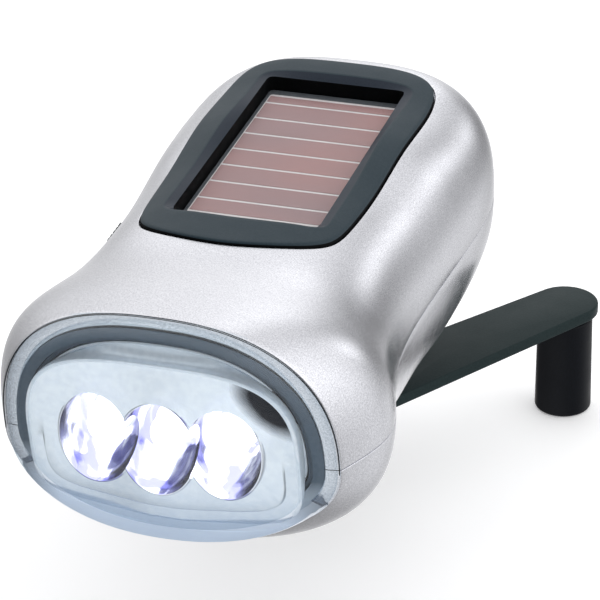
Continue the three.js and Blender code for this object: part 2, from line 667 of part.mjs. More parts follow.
function lensGasket() {
  const outer = WALL + FIT;
  const inner = outer + SPIGOT_WALL;
  const ys = [SPIGOT_LENGTH + FIT / 3, FRAME_FLANGE_Y - FIT / 3];
  const ring = (inset, over) => loft([
    mouthRing(ys[0] - over, inset),
    mouthRing(ys[1] + over, inset),
  ], new THREE.Vector3(0, ys[0] - over, 0), new THREE.Vector3(0, ys[1] + over, 0));
  return cut(ring(outer, 0), ring(inner, OVERRUN));
}

function solarBezel() {
  const crown = prism(bezelOutline(0), [0, reach]);
  const flange = cut(crown.intersect(bodyForm(-BEZEL_PROUD)), bodyForm(BEZEL_THICKNESS - BEZEL_PROUD));
  const well = prism(windowOutline(TRAY_WALL), [trayBottomZ, reach]).intersect(bodyForm(-BEZEL_PROUD));
  const mouth = prism(windowOutline(0), [trayTopZ, reach]);
  const bevel = cut(prism(windowOutline(WINDOW_BEVEL), [0, reach]), bodyForm(WINDOW_BEVEL - BEZEL_PROUD));
  const holes = [-1, 1].map((side) => disc(LEAD_HOLE_RADIUS, [0, reach],
    [side * SOLAR_LEAD_X, SOLAR_LEAD_Y]));
  return cut(join(flange, well), mouth, bevel, ...holes);
}

const solarGlass = () => prism(windowOutline(-FIT), [PANEL_TOP_Z - GLASS_THICKNESS, PANEL_TOP_Z]);
const solarCells = () => prism(windowOutline(-FIT), [trayTopZ + FIT, trayTopZ + FIT + CELL_THICKNESS]);

// Gears: straight-sided teeth with running clearance; phase is where a tooth is centred
function gearOutline(teeth, phase) {
  const pitch = (2 * Math.PI) / teeth;
  const tipRadius = pitchRadius(teeth) + ADDENDUM_SHARE * MODULE;
  const rootRadius = pitchRadius(teeth) - DEDENDUM_SHARE * MODULE;
  const corners = [[rootRadius, -TOOTH_ROOT_SHARE], [tipRadius, -TOOTH_TIP_SHARE],
    [tipRadius, TOOTH_TIP_SHARE], [rootRadius, TOOTH_ROOT_SHARE]];
  const points = [];
  for (let tooth = 0; tooth < teeth; tooth += 1) {
    for (const [radius, share] of corners) {
      const angle = phase + pitch * (tooth + share);
      points.push([radius * Math.cos(angle), radius * Math.sin(angle)]);
    }
  }
  return points;
}

const toRear = Math.PI / 2;
const toFront = -Math.PI / 2;
const halfTooth = (teeth) => Math.PI / teeth;
const moved = (solid, place, z = 0) => solid.translate([place[0], place[1], z]);
const wheel = (phase, zs) => prism(gearOutline(WHEEL_TEETH, phase), zs);
const pinion = (phase, zs) => prism(gearOutline(PINION_TEETH, phase), zs);

function crankGear() {
  const zs = [levelZ(0), levelZ(0) + WHEEL_THICKNESS + FIT];
  const socketTopZ = SHAFT_TOP_Z + TENON_HEIGHT + FIT;
  const square = TENON_HALF + FIT;
  const headRadius = SCREW_HEAD_RADIUS + FIT;
  return cut(moved(wheel(toRear, zs), frontAxis),
    moved(block([-square, square], [-square, square], [zs[0] - OVERRUN, socketTopZ])
      .rotate([0, 0, THREE.MathUtils.radToDeg(CRANK_ANGLE)]), frontAxis),
    disc(SCREW_RADIUS + FIT, [zs[0], zs[1] + OVERRUN], frontAxis),
    disc(headRadius, [zs[1] - CRANK_SCREW_SINK, zs[1] + OVERRUN], frontAxis));
}

// A wheel with a smaller pinion under it, bored to run on its axle
function compoundGear(axis, wheelPhase, pinionPhase, level) {
  const wheelZ = levelZ(level);
  return cut(join(
    moved(wheel(wheelPhase, [wheelZ, wheelZ + WHEEL_THICKNESS]), axis),
    moved(pinion(pinionPhase, [wheelZ - LEVEL_STEP + FIT, wheelZ + FIT]), axis),
  ), disc(AXLE_RADIUS + FIT, [-reach, reach], axis));
}

const coilOuterRadius = STATOR_RADIUS - STATOR_WALL - FIT;
const coilInnerRadius = coilOuterRadius - COIL_BUILD;
const magnetRadius = coilInnerRadius - ROTOR_GAP;
const rotorTopZ = chassisTopZ + STATOR_HEIGHT;
const magnetBottomZ = chassisTopZ + 2 * FIT + STATOR_WALL;
const statorTopZ = chassisTopZ + FIT + STATOR_HEIGHT;

function rotorPinion() {
  const gear = moved(pinion(toFront + halfTooth(PINION_TEETH),
    [levelZ(2), levelZ(2) + WHEEL_THICKNESS + FIT]), rearAxis);
  const sleeve = disc(SLEEVE_RADIUS, [levelZ(2) + WHEEL_THICKNESS, rotorTopZ], rearAxis);
  return cut(join(gear, sleeve), disc(AXLE_RADIUS + FIT, [-reach, reach], rearAxis));
}

const rotorMagnet = () => cut(disc(magnetRadius, [magnetBottomZ, rotorTopZ], rearAxis, ROUND_SEGMENTS),
  disc(SLEEVE_RADIUS + FIT / 2, [-reach, reach], rearAxis));

const statorCoil = () => cut(
  disc(coilOuterRadius, [magnetBottomZ, statorTopZ - FIT], rearAxis, ROUND_SEGMENTS),
  disc(coilInnerRadius, [-reach, reach], rearAxis, ROUND_SEGMENTS));

function statorFrame() {
  const floorZ = chassisTopZ + FIT;
  return cut(disc(STATOR_RADIUS, [floorZ, statorTopZ], rearAxis, ROUND_SEGMENTS),
    disc(STATOR_RADIUS - STATOR_WALL, [floorZ + STATOR_WALL, reach], rearAxis, ROUND_SEGMENTS),
    disc(SLEEVE_RADIUS + FIT, [-reach, reach], rearAxis));
}

const statorCap = () => cut(
  disc(STATOR_RADIUS, [statorTopZ + FIT, statorTopZ + FIT + STATOR_CAP], rearAxis, ROUND_SEGMENTS),
  disc(AXLE_RADIUS + FIT, [-reach, reach], rearAxis));

const rearAxle = () => disc(AXLE_RADIUS, [FIRST_LEVEL_Z - AXLE_SOCKET_DEPTH, statorTopZ + FIT + STATOR_CAP],
  rearAxis);
const frontAxle = () => disc(AXLE_RADIUS, [levelZ(1) + FIT, chassisTopZ - FIT], frontAxis);

function chassisPlate() {
  const outline = [
    [-CHASSIS_FRONT_HALF_WIDTH, CHASSIS_FRONT_Y], [CHASSIS_FRONT_HALF_WIDTH, CHASSIS_FRONT_Y],
    [CHASSIS_FRONT_HALF_WIDTH, CHASSIS_SHOULDER_Y], [CHASSIS_HALF_WIDTH, CHASSIS_SHOULDER_Y],
    [CHASSIS_HALF_WIDTH, CHASSIS_TAPER_Y], [CHASSIS_BACK_HALF_WIDTH, CHASSIS_BACK_Y],
    [-CHASSIS_BACK_HALF_WIDTH, CHASSIS_BACK_Y], [-CHASSIS_HALF_WIDTH, CHASSIS_TAPER_Y],
    [-CHASSIS_HALF_WIDTH, CHASSIS_SHOULDER_Y], [-CHASSIS_FRONT_HALF_WIDTH, CHASSIS_SHOULDER_Y],
  ];
  const plate = prism(outline, [CHASSIS_Z, chassisTopZ]);
  const bossBottomZ = levelZ(2) + WHEEL_THICKNESS + FIT;
  const boss = disc(AXLE_BOSS_RADIUS, [bossBottomZ, chassisTopZ], frontAxis);
  const standoffs = standoffPlaces().map((place) => disc(STANDOFF_RADIUS,
    [chassisTopZ - FIT, circuitZ - FIT / 2], place));
  const holes = [
    disc(AXLE_RADIUS + FIT, [-reach, chassisTopZ - FIT / 2], frontAxis),
    disc(SLEEVE_RADIUS + 2 * FIT, [-reach, reach], rearAxis),
    ...postPlaces.map((place) => disc(SCREW_RADIUS + FIT, [-reach, reach], place)),
  ];
  return cut(join(plate, boss, ...standoffs), ...holes);
}

function standoffPlaces() {
  const x = CIRCUIT_HALF_WIDTH - STANDOFF_MARGIN;
  return fourPlaces(x, CIRCUIT_FRONT_Y + STANDOFF_MARGIN, x, CIRCUIT_BACK_Y - STANDOFF_MARGIN);
}

const circuitBoard = () => block([-CIRCUIT_HALF_WIDTH, CIRCUIT_HALF_WIDTH],
  [CIRCUIT_FRONT_Y, CIRCUIT_BACK_Y], [circuitZ, circuitTopZ]);
const capacitor = () => disc(CAPACITOR_RADIUS, [circuitTopZ + FIT, circuitTopZ + FIT + CAPACITOR_HEIGHT],
  [CAPACITOR_X, CAPACITOR_Y]);

function rectifier() {
  return block([RECTIFIER_X - RECTIFIER_WIDTH / 2, RECTIFIER_X + RECTIFIER_WIDTH / 2],
    [RECTIFIER_Y - RECTIFIER_LENGTH / 2, RECTIFIER_Y + RECTIFIER_LENGTH / 2],
    [circuitTopZ + FIT, circuitTopZ + FIT + RECTIFIER_HEIGHT]);
}

// Battery: button cells in a row across the body, in a trough with a spring contact at each end
const cellZ = chassisTopZ + FIT + CRADLE_FLOOR + FIT + CELL_RADIUS;
const rowHalfLength = (CELL_COUNT * CELL_LENGTH + (CELL_COUNT + 1) * FIT) / 2;

function acrossBody(radius, xs) {
  const geometry = new THREE.CylinderGeometry(radius, radius, xs[1] - xs[0], ROUND_SEGMENTS);
  geometry.rotateZ(Math.PI / 2);
  geometry.translate((xs[0] + xs[1]) / 2, CELL_Y, cellZ);
  return toSolid(geometry);
}

function batteryCell(index) {
  const start = -rowHalfLength + FIT + index * (CELL_LENGTH + FIT);
  return acrossBody(CELL_RADIUS, [start, start + CELL_LENGTH]);
}

function batteryContact(side) {
  const near = rowHalfLength + FIT / 2;
  const xs = side > 0 ? [near, near + CONTACT_THICKNESS] : [-near - CONTACT_THICKNESS, -near];
  const half = CELL_RADIUS / 2;
  const low = CELL_RADIUS * Math.cos(Math.asin(half / CELL_RADIUS));
  return block(xs, [CELL_Y - half, CELL_Y + half], [cellZ - low, cellZ + half]);
}

function batteryCradle() {
  const bottomZ = chassisTopZ + FIT;
  const insideX = rowHalfLength + FIT + CONTACT_THICKNESS + FIT;
  const outsideX = insideX + CRADLE_WALL;
  const halfY = CELL_RADIUS + FIT + CRADLE_WALL;
  const solid = block([-outsideX, outsideX], [CELL_Y - halfY, CELL_Y + halfY],
    [bottomZ, bottomZ + CRADLE_FLOOR + CRADLE_HEIGHT]);
  return cut(solid, acrossBody(CELL_RADIUS + FIT, [-insideX, insideX]));
}

function switchHousing() {
  const solid = block([SWITCH_X, SWITCH_X + SWITCH_DEPTH],
    [SWITCH_Y - SWITCH_LENGTH / 2, SWITCH_Y + SWITCH_LENGTH / 2],
    [switchZ - SWITCH_HEIGHT / 2, switchZ + SWITCH_HEIGHT / 2]);
  return cut(solid, switchCuts().inner);
}

function switchSlider() {
  const stem = block([RECESS_X - FIT - FIT, SWITCH_X + STEM_REACH], [stemFrontY, stemFrontY + STEM_LENGTH],
    [switchZ - STEM_HEIGHT / 2, switchZ + STEM_HEIGHT / 2]);
  const capFrontY = stemFrontY - (CAP_LENGTH - STEM_LENGTH) / 2;
  const cap = block([CAP_PROUD_X, RECESS_X - FIT], [capFrontY, capFrontY + CAP_LENGTH],
    [switchZ - CAP_HEIGHT / 2, switchZ + CAP_HEIGHT / 2]);
  const step = CAP_LENGTH / (CAP_RIB_COUNT + 1);
  const grooves = Array.from({ length: CAP_RIB_COUNT }, (_, i) => block(
    [CAP_PROUD_X - OVERRUN, CAP_PROUD_X + CAP_RIB_DEPTH],
    [capFrontY + step * (i + 1) - CAP_RIB_DEPTH / 2, capFrontY + step * (i + 1) + CAP_RIB_DEPTH / 2],
    [-reach, reach]));
  return cut(join(stem, cap), ...grooves);
}

// Crank parts, drawn along +X from the crank axis and turned with their group
function crankHub() {
  const body = disc(HUB_RADIUS, [HUB_BOTTOM_Z, HUB_TOP_Z], [0, 0], HUB_SEGMENTS);
  const shaft = disc(SHAFT_RADIUS, [HUB_TOP_Z - FIT, SHAFT_TOP_Z], [0, 0], SMALL_SEGMENTS);
  const tenon = block([-TENON_HALF, TENON_HALF], [-TENON_HALF, TENON_HALF],
    [SHAFT_TOP_Z - FIT, SHAFT_TOP_Z + TENON_HEIGHT]);
  const groove = block([-reach, reach], [-hubGrooveHalf, hubGrooveHalf], [-reach, hubCeilingZ]);
  const pinHole = alongHinge(HINGE_PIN_RADIUS + FIT, reach);
  const pilot = disc(SCREW_RADIUS + FIT, [hubCeilingZ + FIT, 0]);
  return cut(join(body, shaft, tenon), groove, pinHole, pilot);
}

function alongHinge(radius, halfLength) {
  const geometry = new THREE.CylinderGeometry(radius, radius, 2 * halfLength, SMALL_SEGMENTS);
  geometry.translate(HINGE_REACH, 0, HINGE_Z);
  return toSolid(geometry);
}

const hingeHalfLength = Math.sqrt(HUB_RADIUS ** 2 - (HINGE_REACH + HINGE_PIN_RADIUS) ** 2) - FIT;
const hingePin = () => alongHinge(HINGE_PIN_RADIUS, hingeHalfLength);

function crankScrew() {
  const topZ = levelZ(0) + WHEEL_THICKNESS + FIT - CRANK_SCREW_SINK + FIT / 3 + CRANK_SCREW_HEAD;
  return screw(CRANK_SCREW_HEAD, CRANK_SCREW_LENGTH).rotate([180, 0, 0]).translate([0, 0, topZ]);
}

function armOutline() {
  const lean = Math.asin((ARM_ROOT_RADIUS - ARM_END_RADIUS) / ARM_REACH);
  const startX = HINGE_REACH - EYE_RADIUS;
  const startHalf = ARM_ROOT_RADIUS / Math.cos(lean) - startX * Math.tan(lean);
  const end = Array.from({ length: ARM_ARC_POINTS + 1 }, (_, i) => {
    const angle = (Math.PI / 2 - lean) * ((2 * i) / ARM_ARC_POINTS - 1);
    return [ARM_REACH + ARM_END_RADIUS * Math.cos(angle), ARM_END_RADIUS * Math.sin(angle)];
  });
  return [[startX, -startHalf], ...end, [startX, startHalf]];
}

function crankArm() {
  const plate = prism(armOutline(), [armBottomZ, ARM_TOP_Z]);
  const eyeHalf = ARM_ROOT_RADIUS - 2 * FIT;
  const eye = alongHinge(EYE_RADIUS, eyeHalf);
  const neck = block([HINGE_REACH - EYE_RADIUS, HINGE_REACH + EYE_RADIUS], [-eyeHalf, eyeHalf],
    [armBottomZ, HINGE_Z]);
  const heel = block([HINGE_REACH, HINGE_REACH + EYE_RADIUS], [-eyeHalf, eyeHalf],
    [HINGE_Z, hubCeilingZ - FIT]);
  const boss = disc(ARM_BOSS_RADIUS, [armBottomZ - ARM_BOSS_HEIGHT, ARM_TOP_Z - FIT], [ARM_REACH, 0],
    ROUND_SEGMENTS);
  return cut(join(plate, eye, neck, heel, boss), alongHinge(HINGE_PIN_RADIUS + FIT, reach),
    disc(SPINDLE_RADIUS + FIT, [-reach, ARM_TOP_Z - 2 * FIT], [ARM_REACH, 0]));
}

function crankKnob() {
  const profile = [[0, knobFootZ], [KNOB_FOOT_RADIUS - KNOB_EDGE, knobFootZ],
    [KNOB_FOOT_RADIUS, knobFootZ + KNOB_EDGE], [KNOB_TOP_RADIUS, knobTopZ], [0, knobTopZ]];
  return cut(turned(profile, KNOB_SEGMENTS),
    disc(KNOB_BORE_RADIUS, [-reach, reach]),
    disc(KNOB_RECESS_RADIUS, [-reach, knobFootZ + KNOB_RECESS_DEPTH], [0, 0], ROUND_SEGMENTS),
  ).translate([ARM_REACH, 0, 0]);
}

function knobSpindle() {
  const headTopZ = knobFootZ + KNOB_RECESS_DEPTH - FIT;
  return join(disc(SPINDLE_RADIUS, [headTopZ - FIT, ARM_TOP_Z - 3 * FIT], [ARM_REACH, 0]),
    disc(SPINDLE_HEAD_RADIUS, [headTopZ - SPINDLE_HEAD_HEIGHT, headTopZ], [ARM_REACH, 0], ROUND_SEGMENTS));
}

// The bush that the crank shaft turns in, flanged on the inside of the lower shell
function crankBush() {
  const floorTopZ = pocketFloorZ + POCKET_FLOOR;
  const flangeZ = floorTopZ + FIT / 3;
  return cut(join(
    disc(bushRadius, [pocketFloorZ + FIT, flangeZ + BUSH_FLANGE_THICKNESS], frontAxis, ROUND_SEGMENTS),
    disc(bushRadius + BUSH_FLANGE, [flangeZ, flangeZ + BUSH_FLANGE_THICKNESS], frontAxis, ROUND_SEGMENTS),
  ), disc(SHAFT_RADIUS + FIT, [-reach, reach], frontAxis));
}

// A slotted screw: head on the ground, shank upward
function screw(headHeight, length) {
  const slot = block([-SCREW_SLOT_WIDTH / 2, SCREW_SLOT_WIDTH / 2], [-reach, reach],
    [-OVERRUN, SCREW_SLOT_DEPTH]);
  const head = disc(SCREW_HEAD_RADIUS, [0, headHeight], [0, 0], SCREW_SEGMENTS);
  return cut(join(head, disc(SCREW_RADIUS, [0, length], [0, 0], SCREW_SEGMENTS)), slot);
}

const housingScrew = (place) => moved(screw(SCREW_HEAD_HEIGHT, HOUSING_SCREW_LENGTH + SCREW_HEAD_HEIGHT),
  place, SCREW_SEAT_Z - SCREW_HEAD_HEIGHT - FIT / 2);
const chassisScrew = (place) => moved(
  screw(SCREW_HEAD_HEIGHT, CHASSIS_SCREW_LENGTH + SCREW_HEAD_HEIGHT).rotate([180, 0, 0]),
  place, chassisTopZ + FIT / 2 + SCREW_HEAD_HEIGHT);

// A round lead along points chosen by hand
function lead(points) {
  const path = new THREE.CatmullRomCurve3(points.map((point) => new THREE.Vector3(...point)));
  const ring = Array.from({ length: LEAD_SIDES }, (_, i) => {
    const angle = (2 * Math.PI * i) / LEAD_SIDES;
    return new THREE.Vector2(LEAD_RADIUS * Math.cos(angle), LEAD_RADIUS * Math.sin(angle));
  });
  return toSolid(new THREE.ExtrudeGeometry(new THREE.Shape(ring), { steps: LEAD_STEPS, extrudePath: path }));
}

const mirrored = (points, side) => points.map(([x, y, z]) => [side * x, y, z]);
const LEAD_ROUTES = {
  solar: [[2.4, 43, 12.7], [2.4, 42.8, 10.5], [2.8, 42.2, 8.6], [3, 42, 6.9]],
  battery: [[10.2, 24, 13.2], [12.6, 26, 13.4], [12.8, 31, 11], [11, 35.5, 8.6], [10.4, 37, 6.9]],
  lamp: [[12, 7.4, 5.2], [12.6, 9, 7.5], [14.5, 16, 8.5], [14.5, 27, 8.5], [14.5, 35, 10],
    [12, 41, 9.5], [9.5, 43, 6.9]],
  coil: [[2, 60.2, 7.5], [2, 59.4, 8.6], [2, 57.6, 8.8], [2, 56.4, 7.8], [2, 56, 6.9]],
};
const SWITCH_LEADS = {
  switch_lead_1: [[-15.1, 48, 5.4], [-14.2, 48, 7.4], [-12.6, 47.4, 8.4], [-10.8, 46.6, 6.9]],
  switch_lead_2: [[-15.1, 53, 5.4], [-14.2, 53, 7.4], [-12.6, 53.4, 8.4], [-10.8, 53.8, 6.9]],
};

// The assembly
function part(group, name, solid, [colour, roughness, metalness]) {
  const material = new THREE.MeshStandardMaterial({ color: colour, roughness, metalness });
  const mesh = new THREE.Mesh(toGeometry(solid), material);
  mesh.name = name;
  group.add(mesh);
}

const torch = new THREE.Group();
part(torch, 'upper_shell', upperShell(), SILVER);
part(torch, 'lower_shell', lowerShell(), SILVER);
part(torch, 'lens', lens(), CLEAR);
part(torch, 'lens_gasket', lensGasket(), BLACK_PLASTIC);
part(torch, 'lamp_frame', lampFrame(), DARK_FRAME);
part(torch, 'reflector', reflector(), MIRROR);
part(torch, 'led_board', ledBoard(), BOARD_GREEN);
lampPlaces.forEach(([x, , z], i) => {
  part(torch, `led_${i + 1}`, led().translate([x, ledBoardY - FIT, z]), CLEAR);
});
part(torch, 'solar_bezel', solarBezel(), SLATE);
part(torch, 'solar_glass', solarGlass(), GLASS);
part(torch, 'solar_cells', solarCells(), CELL);

part(torch, 'chassis_plate', chassisPlate(), DARK_PLASTIC);
part(torch, 'circuit_board', circuitBoard(), BOARD_GREEN);
part(torch, 'capacitor', capacitor(), STEEL);
part(torch, 'rectifier', rectifier(), BLACK_PLASTIC);
part(torch, 'battery_cradle', batteryCradle(), DARK_PLASTIC);
for (let i = 0; i < CELL_COUNT; i += 1) {
  part(torch, `battery_cell_${i + 1}`, batteryCell(i), STEEL);
}
part(torch, 'battery_contact_left', batteryContact(-1), BRASS);
part(torch, 'battery_contact_right', batteryContact(1), BRASS);
part(torch, 'switch_housing', switchHousing(), BLACK_PLASTIC);
part(torch, 'switch_slider', switchSlider(), DARK_PLASTIC);

part(torch, 'crank_bush', crankBush(), BRASS);
part(torch, 'crank_gear', crankGear(), GEAR_PLASTIC);
part(torch, 'rear_compound_gear', compoundGear(rearAxis, toFront,
  toFront + halfTooth(PINION_TEETH), 1), GEAR_PLASTIC);
part(torch, 'front_compound_gear', compoundGear(frontAxis, toRear,
  toRear + halfTooth(PINION_TEETH), 2), GEAR_PLASTIC);
part(torch, 'front_axle', frontAxle(), STEEL);
part(torch, 'rear_axle', rearAxle(), STEEL);
part(torch, 'rotor_pinion', rotorPinion(), GEAR_PLASTIC);
part(torch, 'rotor_magnet', rotorMagnet(), MAGNET);
part(torch, 'stator_coil', statorCoil(), COPPER);
part(torch, 'stator_frame', statorFrame(), STEEL);
part(torch, 'stator_cap', statorCap(), STEEL);

const crank = new THREE.Group();
crank.position.set(0, CRANK_Y, 0);
crank.rotation.z = CRANK_ANGLE;
part(crank, 'crank_hub', crankHub(), DARK_PLASTIC);
part(crank, 'hinge_pin', hingePin(), STEEL);
part(crank, 'crank_arm', crankArm(), DARK_PLASTIC);
part(crank, 'crank_knob', crankKnob(), BLACK_PLASTIC);
part(crank, 'knob_spindle', knobSpindle(), STEEL);
torch.add(crank);
part(torch, 'crank_screw', moved(crankScrew(), frontAxis), STEEL);

housingScrewPlaces.forEach((place, i) => {
  part(torch, `housing_screw_${i + 1}`, housingScrew(place), STEEL);
});
postPlaces.forEach((place, i) => {
  part(torch, `chassis_screw_${i + 1}`, chassisScrew(place), STEEL);
});
for (const [name, route] of Object.entries(LEAD_ROUTES)) {
  part(torch, `${name}_lead_red`, lead(mirrored(route, 1)), LEAD_RED);
  part(torch, `${name}_lead_black`, lead(mirrored(route, -1)), LEAD_BLACK);
}
for (const [name, route] of Object.entries(SWITCH_LEADS)) {
  part(torch, name, lead(route), LEAD_BLACK);
}

// Origin: the middle of the base of the box round the whole object
const model = new THREE.Group();
model.add(torch);
model.updateMatrixWorld(true);
const around = new THREE.Box3().setFromObject(torch, true);
const middle = around.getCenter(new THREE.Vector3());
torch.position.set(-middle.x, -middle.y, -around.min.z);

export default model;
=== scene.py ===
import json
import math

import bmesh
import bpy
import numpy as np
from mathutils import Matrix, Vector
from mathutils.bvhtree import BVHTree


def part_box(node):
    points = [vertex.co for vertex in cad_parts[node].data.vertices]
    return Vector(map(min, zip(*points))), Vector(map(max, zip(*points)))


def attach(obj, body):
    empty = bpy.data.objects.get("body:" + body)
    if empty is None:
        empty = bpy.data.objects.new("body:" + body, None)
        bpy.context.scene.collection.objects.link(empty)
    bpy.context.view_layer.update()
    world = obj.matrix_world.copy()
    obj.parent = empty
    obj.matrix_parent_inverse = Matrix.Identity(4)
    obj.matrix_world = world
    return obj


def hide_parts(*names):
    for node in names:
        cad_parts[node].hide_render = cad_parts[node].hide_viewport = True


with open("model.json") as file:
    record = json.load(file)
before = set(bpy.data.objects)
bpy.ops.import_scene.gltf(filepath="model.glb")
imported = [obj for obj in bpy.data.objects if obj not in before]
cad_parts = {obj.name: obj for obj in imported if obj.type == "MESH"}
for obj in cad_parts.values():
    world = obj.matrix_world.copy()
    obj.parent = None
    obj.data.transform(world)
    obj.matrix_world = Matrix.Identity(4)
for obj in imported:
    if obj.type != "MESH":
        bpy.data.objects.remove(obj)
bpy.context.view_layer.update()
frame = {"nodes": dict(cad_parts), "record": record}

# All sizes are millimetres in the head's own frame: -Y is forward, y = 0 is the middle of
# the seam between lens and body, z = 0 is the plane where the two shells meet.
FIT = 0.3
PARTING_GAP = 0.14
SEAM_GAP = 0.3
OVERRUN = 1
FAR = 200
SMOOTH_ANGLE = 32
ROUND_POINTS = 64
SMALL_ROUND_POINTS = 40
CORNER_STEPS = 5
RIM_POINTS = 6
SMALL_RIM_POINTS = 5

# Body form: shares of the length, and the half-width, rise and depth there
BODY_LENGTH = 103.2
HEAD_HALF_WIDTH = 28
BACK_RISE = 21
BELLY_DEPTH = 21.5
WALL = 2.2
STATION_SHARES = [0, 0.1, 0.22, 0.36, 0.5, 0.64, 0.78, 1]
WIDTH_SHARES = [0.866, 1, 0.921, 0.843, 0.85, 0.88, 0.92, 1.115]
RISE_SHARES = [1.084, 1.008, 0.912, 0.916, 0.902, 0.929, 0.894, 1.311]
DEPTH_SHARES = [0.594, 0.9, 0.698, 0.966, 0.989, 1.009, 0.893, 0.83]
UPPER_SQUARENESS = [2.35, 2.97]
LOWER_SQUARENESS = [2.31, 2.66]
TAIL_START_SHARE = 0.69
TAIL_ROUNDNESS = 2.35
SEAM_LEAN = -0.138
SEAM_SWEEP = 1.85
EDGE_RADIUS = 0.1
EDGE_STEPS = 4
SIDE_ROWS = 88
BODY_COLUMNS = 84
TAIL_COLUMNS = 44
TAIL_END_ANGLE = math.radians(88.5)
LEVEL = -1e-9
STEEPEST_START = 0.98
MOUTH_SAMPLES = 4001
HEIGHT_ROUNDS = 12
LAST_SHARE = 0.999
# A vertex of a cut shell within ON_FORM metres of the uncut form takes the form's normal, on faces
# that turn the same way, or straight back, to within a cosine of SAME_WAY
ON_FORM = 0.000004
SAME_WAY = 0.93
NEVER_ZERO = 1e-7

# Lens
LENS_DEPTH = 5.6
LENS_SWEEP = 3.4
LENS_WALL = 1.5
LENS_SHARPNESS = 12
LENS_ROUNDNESS = 2.2
LENS_POINTS = 192
LENS_EDGE_RINGS = 26
LENS_EDGE_ANGLE = math.radians(89.6)
LENS_FACE_SHARES = [0.86, 0.76, 0.64, 0.5, 0.35, 0.18]
LENS_RING_GAP = 0.03
LENS_SMOOTH_ANGLE = 40
FLANGE_EDGE = [(0.12, 0.05), (0.3, 0.1)]
FLANGE_BACK = 0.1
SPIGOT_LENGTH = 2.6
SPIGOT_WALL = 1.3
MASK_INSET = 2.2
CLEAR_RIM_LOW_Z = -6
# Heights over which the lens mask runs from dark to pale frost: partly the frosting, partly painted
# light
FROST_TOP_Z = -2
FROST_FULL_Z = -10
# Above this height the lens's flange is painted near-black: a painted shadow in the seam between lens
# and body
SEAM_SHADOW_LOW_Z = -1
TINT_TOP_Z = -2
TINT_FULL_Z = -11
# A painted glow on the lens's frosted foot, which is no lamp
FROST_PAINTED_GLOW = 0.22
LOW_GLOSS = 0.2
FROSTED_RINGS = 13

# Reflector and lamps
PLATE_HALF_WIDTH = 19.5
PLATE_RISE = 15.2
PLATE_DROP = 10.3
PLATE_MIDDLE_Z = 0.48
PLATE_SQUARENESS = (3.3, 4.4)
PLATE_EDGE_REACH = 0.93
PAINT_MARGIN = 0.05
CUP_MARGIN = 0.02
PLATE_FRONT_Y = -3.2
PLATE_BULGE = 1.6
BULGE_SHARPNESS = 1.34
BULGE_FULL_Z = 6
BULGE_END_Z = 15
LAMP_PITCH = 9.1
LAMP_Z = 2.7
CUP_RADIUS = 5.3
CUP_HEIGHT_SHARE = 1.32
CUP_DEPTH = 8.4
THROAT_RADIUS = 2.88
CUP_STEPS = 10
CUP_CURVE = 2
RIM_WIDTH = 0.35
RIM_HEIGHT = 0.3
# A painted reflection on the plate: a soft dark patch, by its middle, lean and half-sizes
DARK_REFLECTION_X = 16.2
DARK_REFLECTION_Z = 11.5
DARK_REFLECTION_LEAN = -39
DARK_REFLECTION_HALF_LENGTH = 5.6
DARK_REFLECTION_HALF_WIDTH = 3.6
STEP_INSET = 2.6
STEP_DEPTH = 0.5
STEP_TOP_Z = 4
STEP_FADE = 8
RIM_INSET = 4.6
LIP_WIDTH = 0.6
HOOD_BACK_Y = 0.5
COVE_STEPS = 8
HOOD_WALL = 0.8
HOOD_DEPTH = 1.2
UNDER_DEPTH = 3.2
UNDER_INSETS = [3.4, PLATE_DROP * 0.6]
PLATE_FACE_SHARES = [0.93, 0.8, 0.6, 0.4, 0.2]
# The plate's rings from its step outward: inset, depth behind the face, further depth of the step
PLATE_EDGE_RINGS = [
    (STEP_INSET, 0, 0),
    (STEP_INSET - 0.2, 0, 0.08),
    (STEP_INSET - 0.4, 0, STEP_DEPTH),
    (1.2, 0, STEP_DEPTH),
    (0.5, 0, STEP_DEPTH),
    (0.12, 0.02, STEP_DEPTH),
    (0.03, 0.08, STEP_DEPTH),
    (0, 0.3, STEP_DEPTH),
]
# The lip's rings: share of its width, and distance forward of the hood's back edge
LIP_RINGS = [(0.85, 0.25), (0.5, 0.4), (0.15, 0.25), (0, -0.3), (0, -1)]
# The rings of a cup's rim: shares of its width outward and of its height behind the face
CUP_RIM = [(0.1, -1), (0.45, -0.9), (0.8, -0.5), (1, 0)]
CUP_MOUTH_DEPTH = 0.15
CUP_STEP_WIDTH = 0.1
CUP_STEP_DEPTH = 0.4
CUP_WALL = 0.2
CUP_SHOULDER_SHARE = 0.3
CUP_FOOT_NARROWING = (1.4, 0.6)
# The rings of a lamp's foot: radius, and distance forward of its back
LAMP_FOOT = [(2.8, 0), (2.8, 0.9), (2.72, 1), (2.5, 1.05)]
LAMP_RADIUS = 2.5
LAMP_STRENGTH = 1.9
LAMP_DOME_RINGS = 10
LAMP_DOME_ANGLE = math.radians(84)
FRAME_FRONT_Y = 0.1
FRAME_STEP_DEPTH = 3.6
FRAME_DEPTH = 5.6
FRAME_GAP = 0.1
FRAME_LAP = 0.15

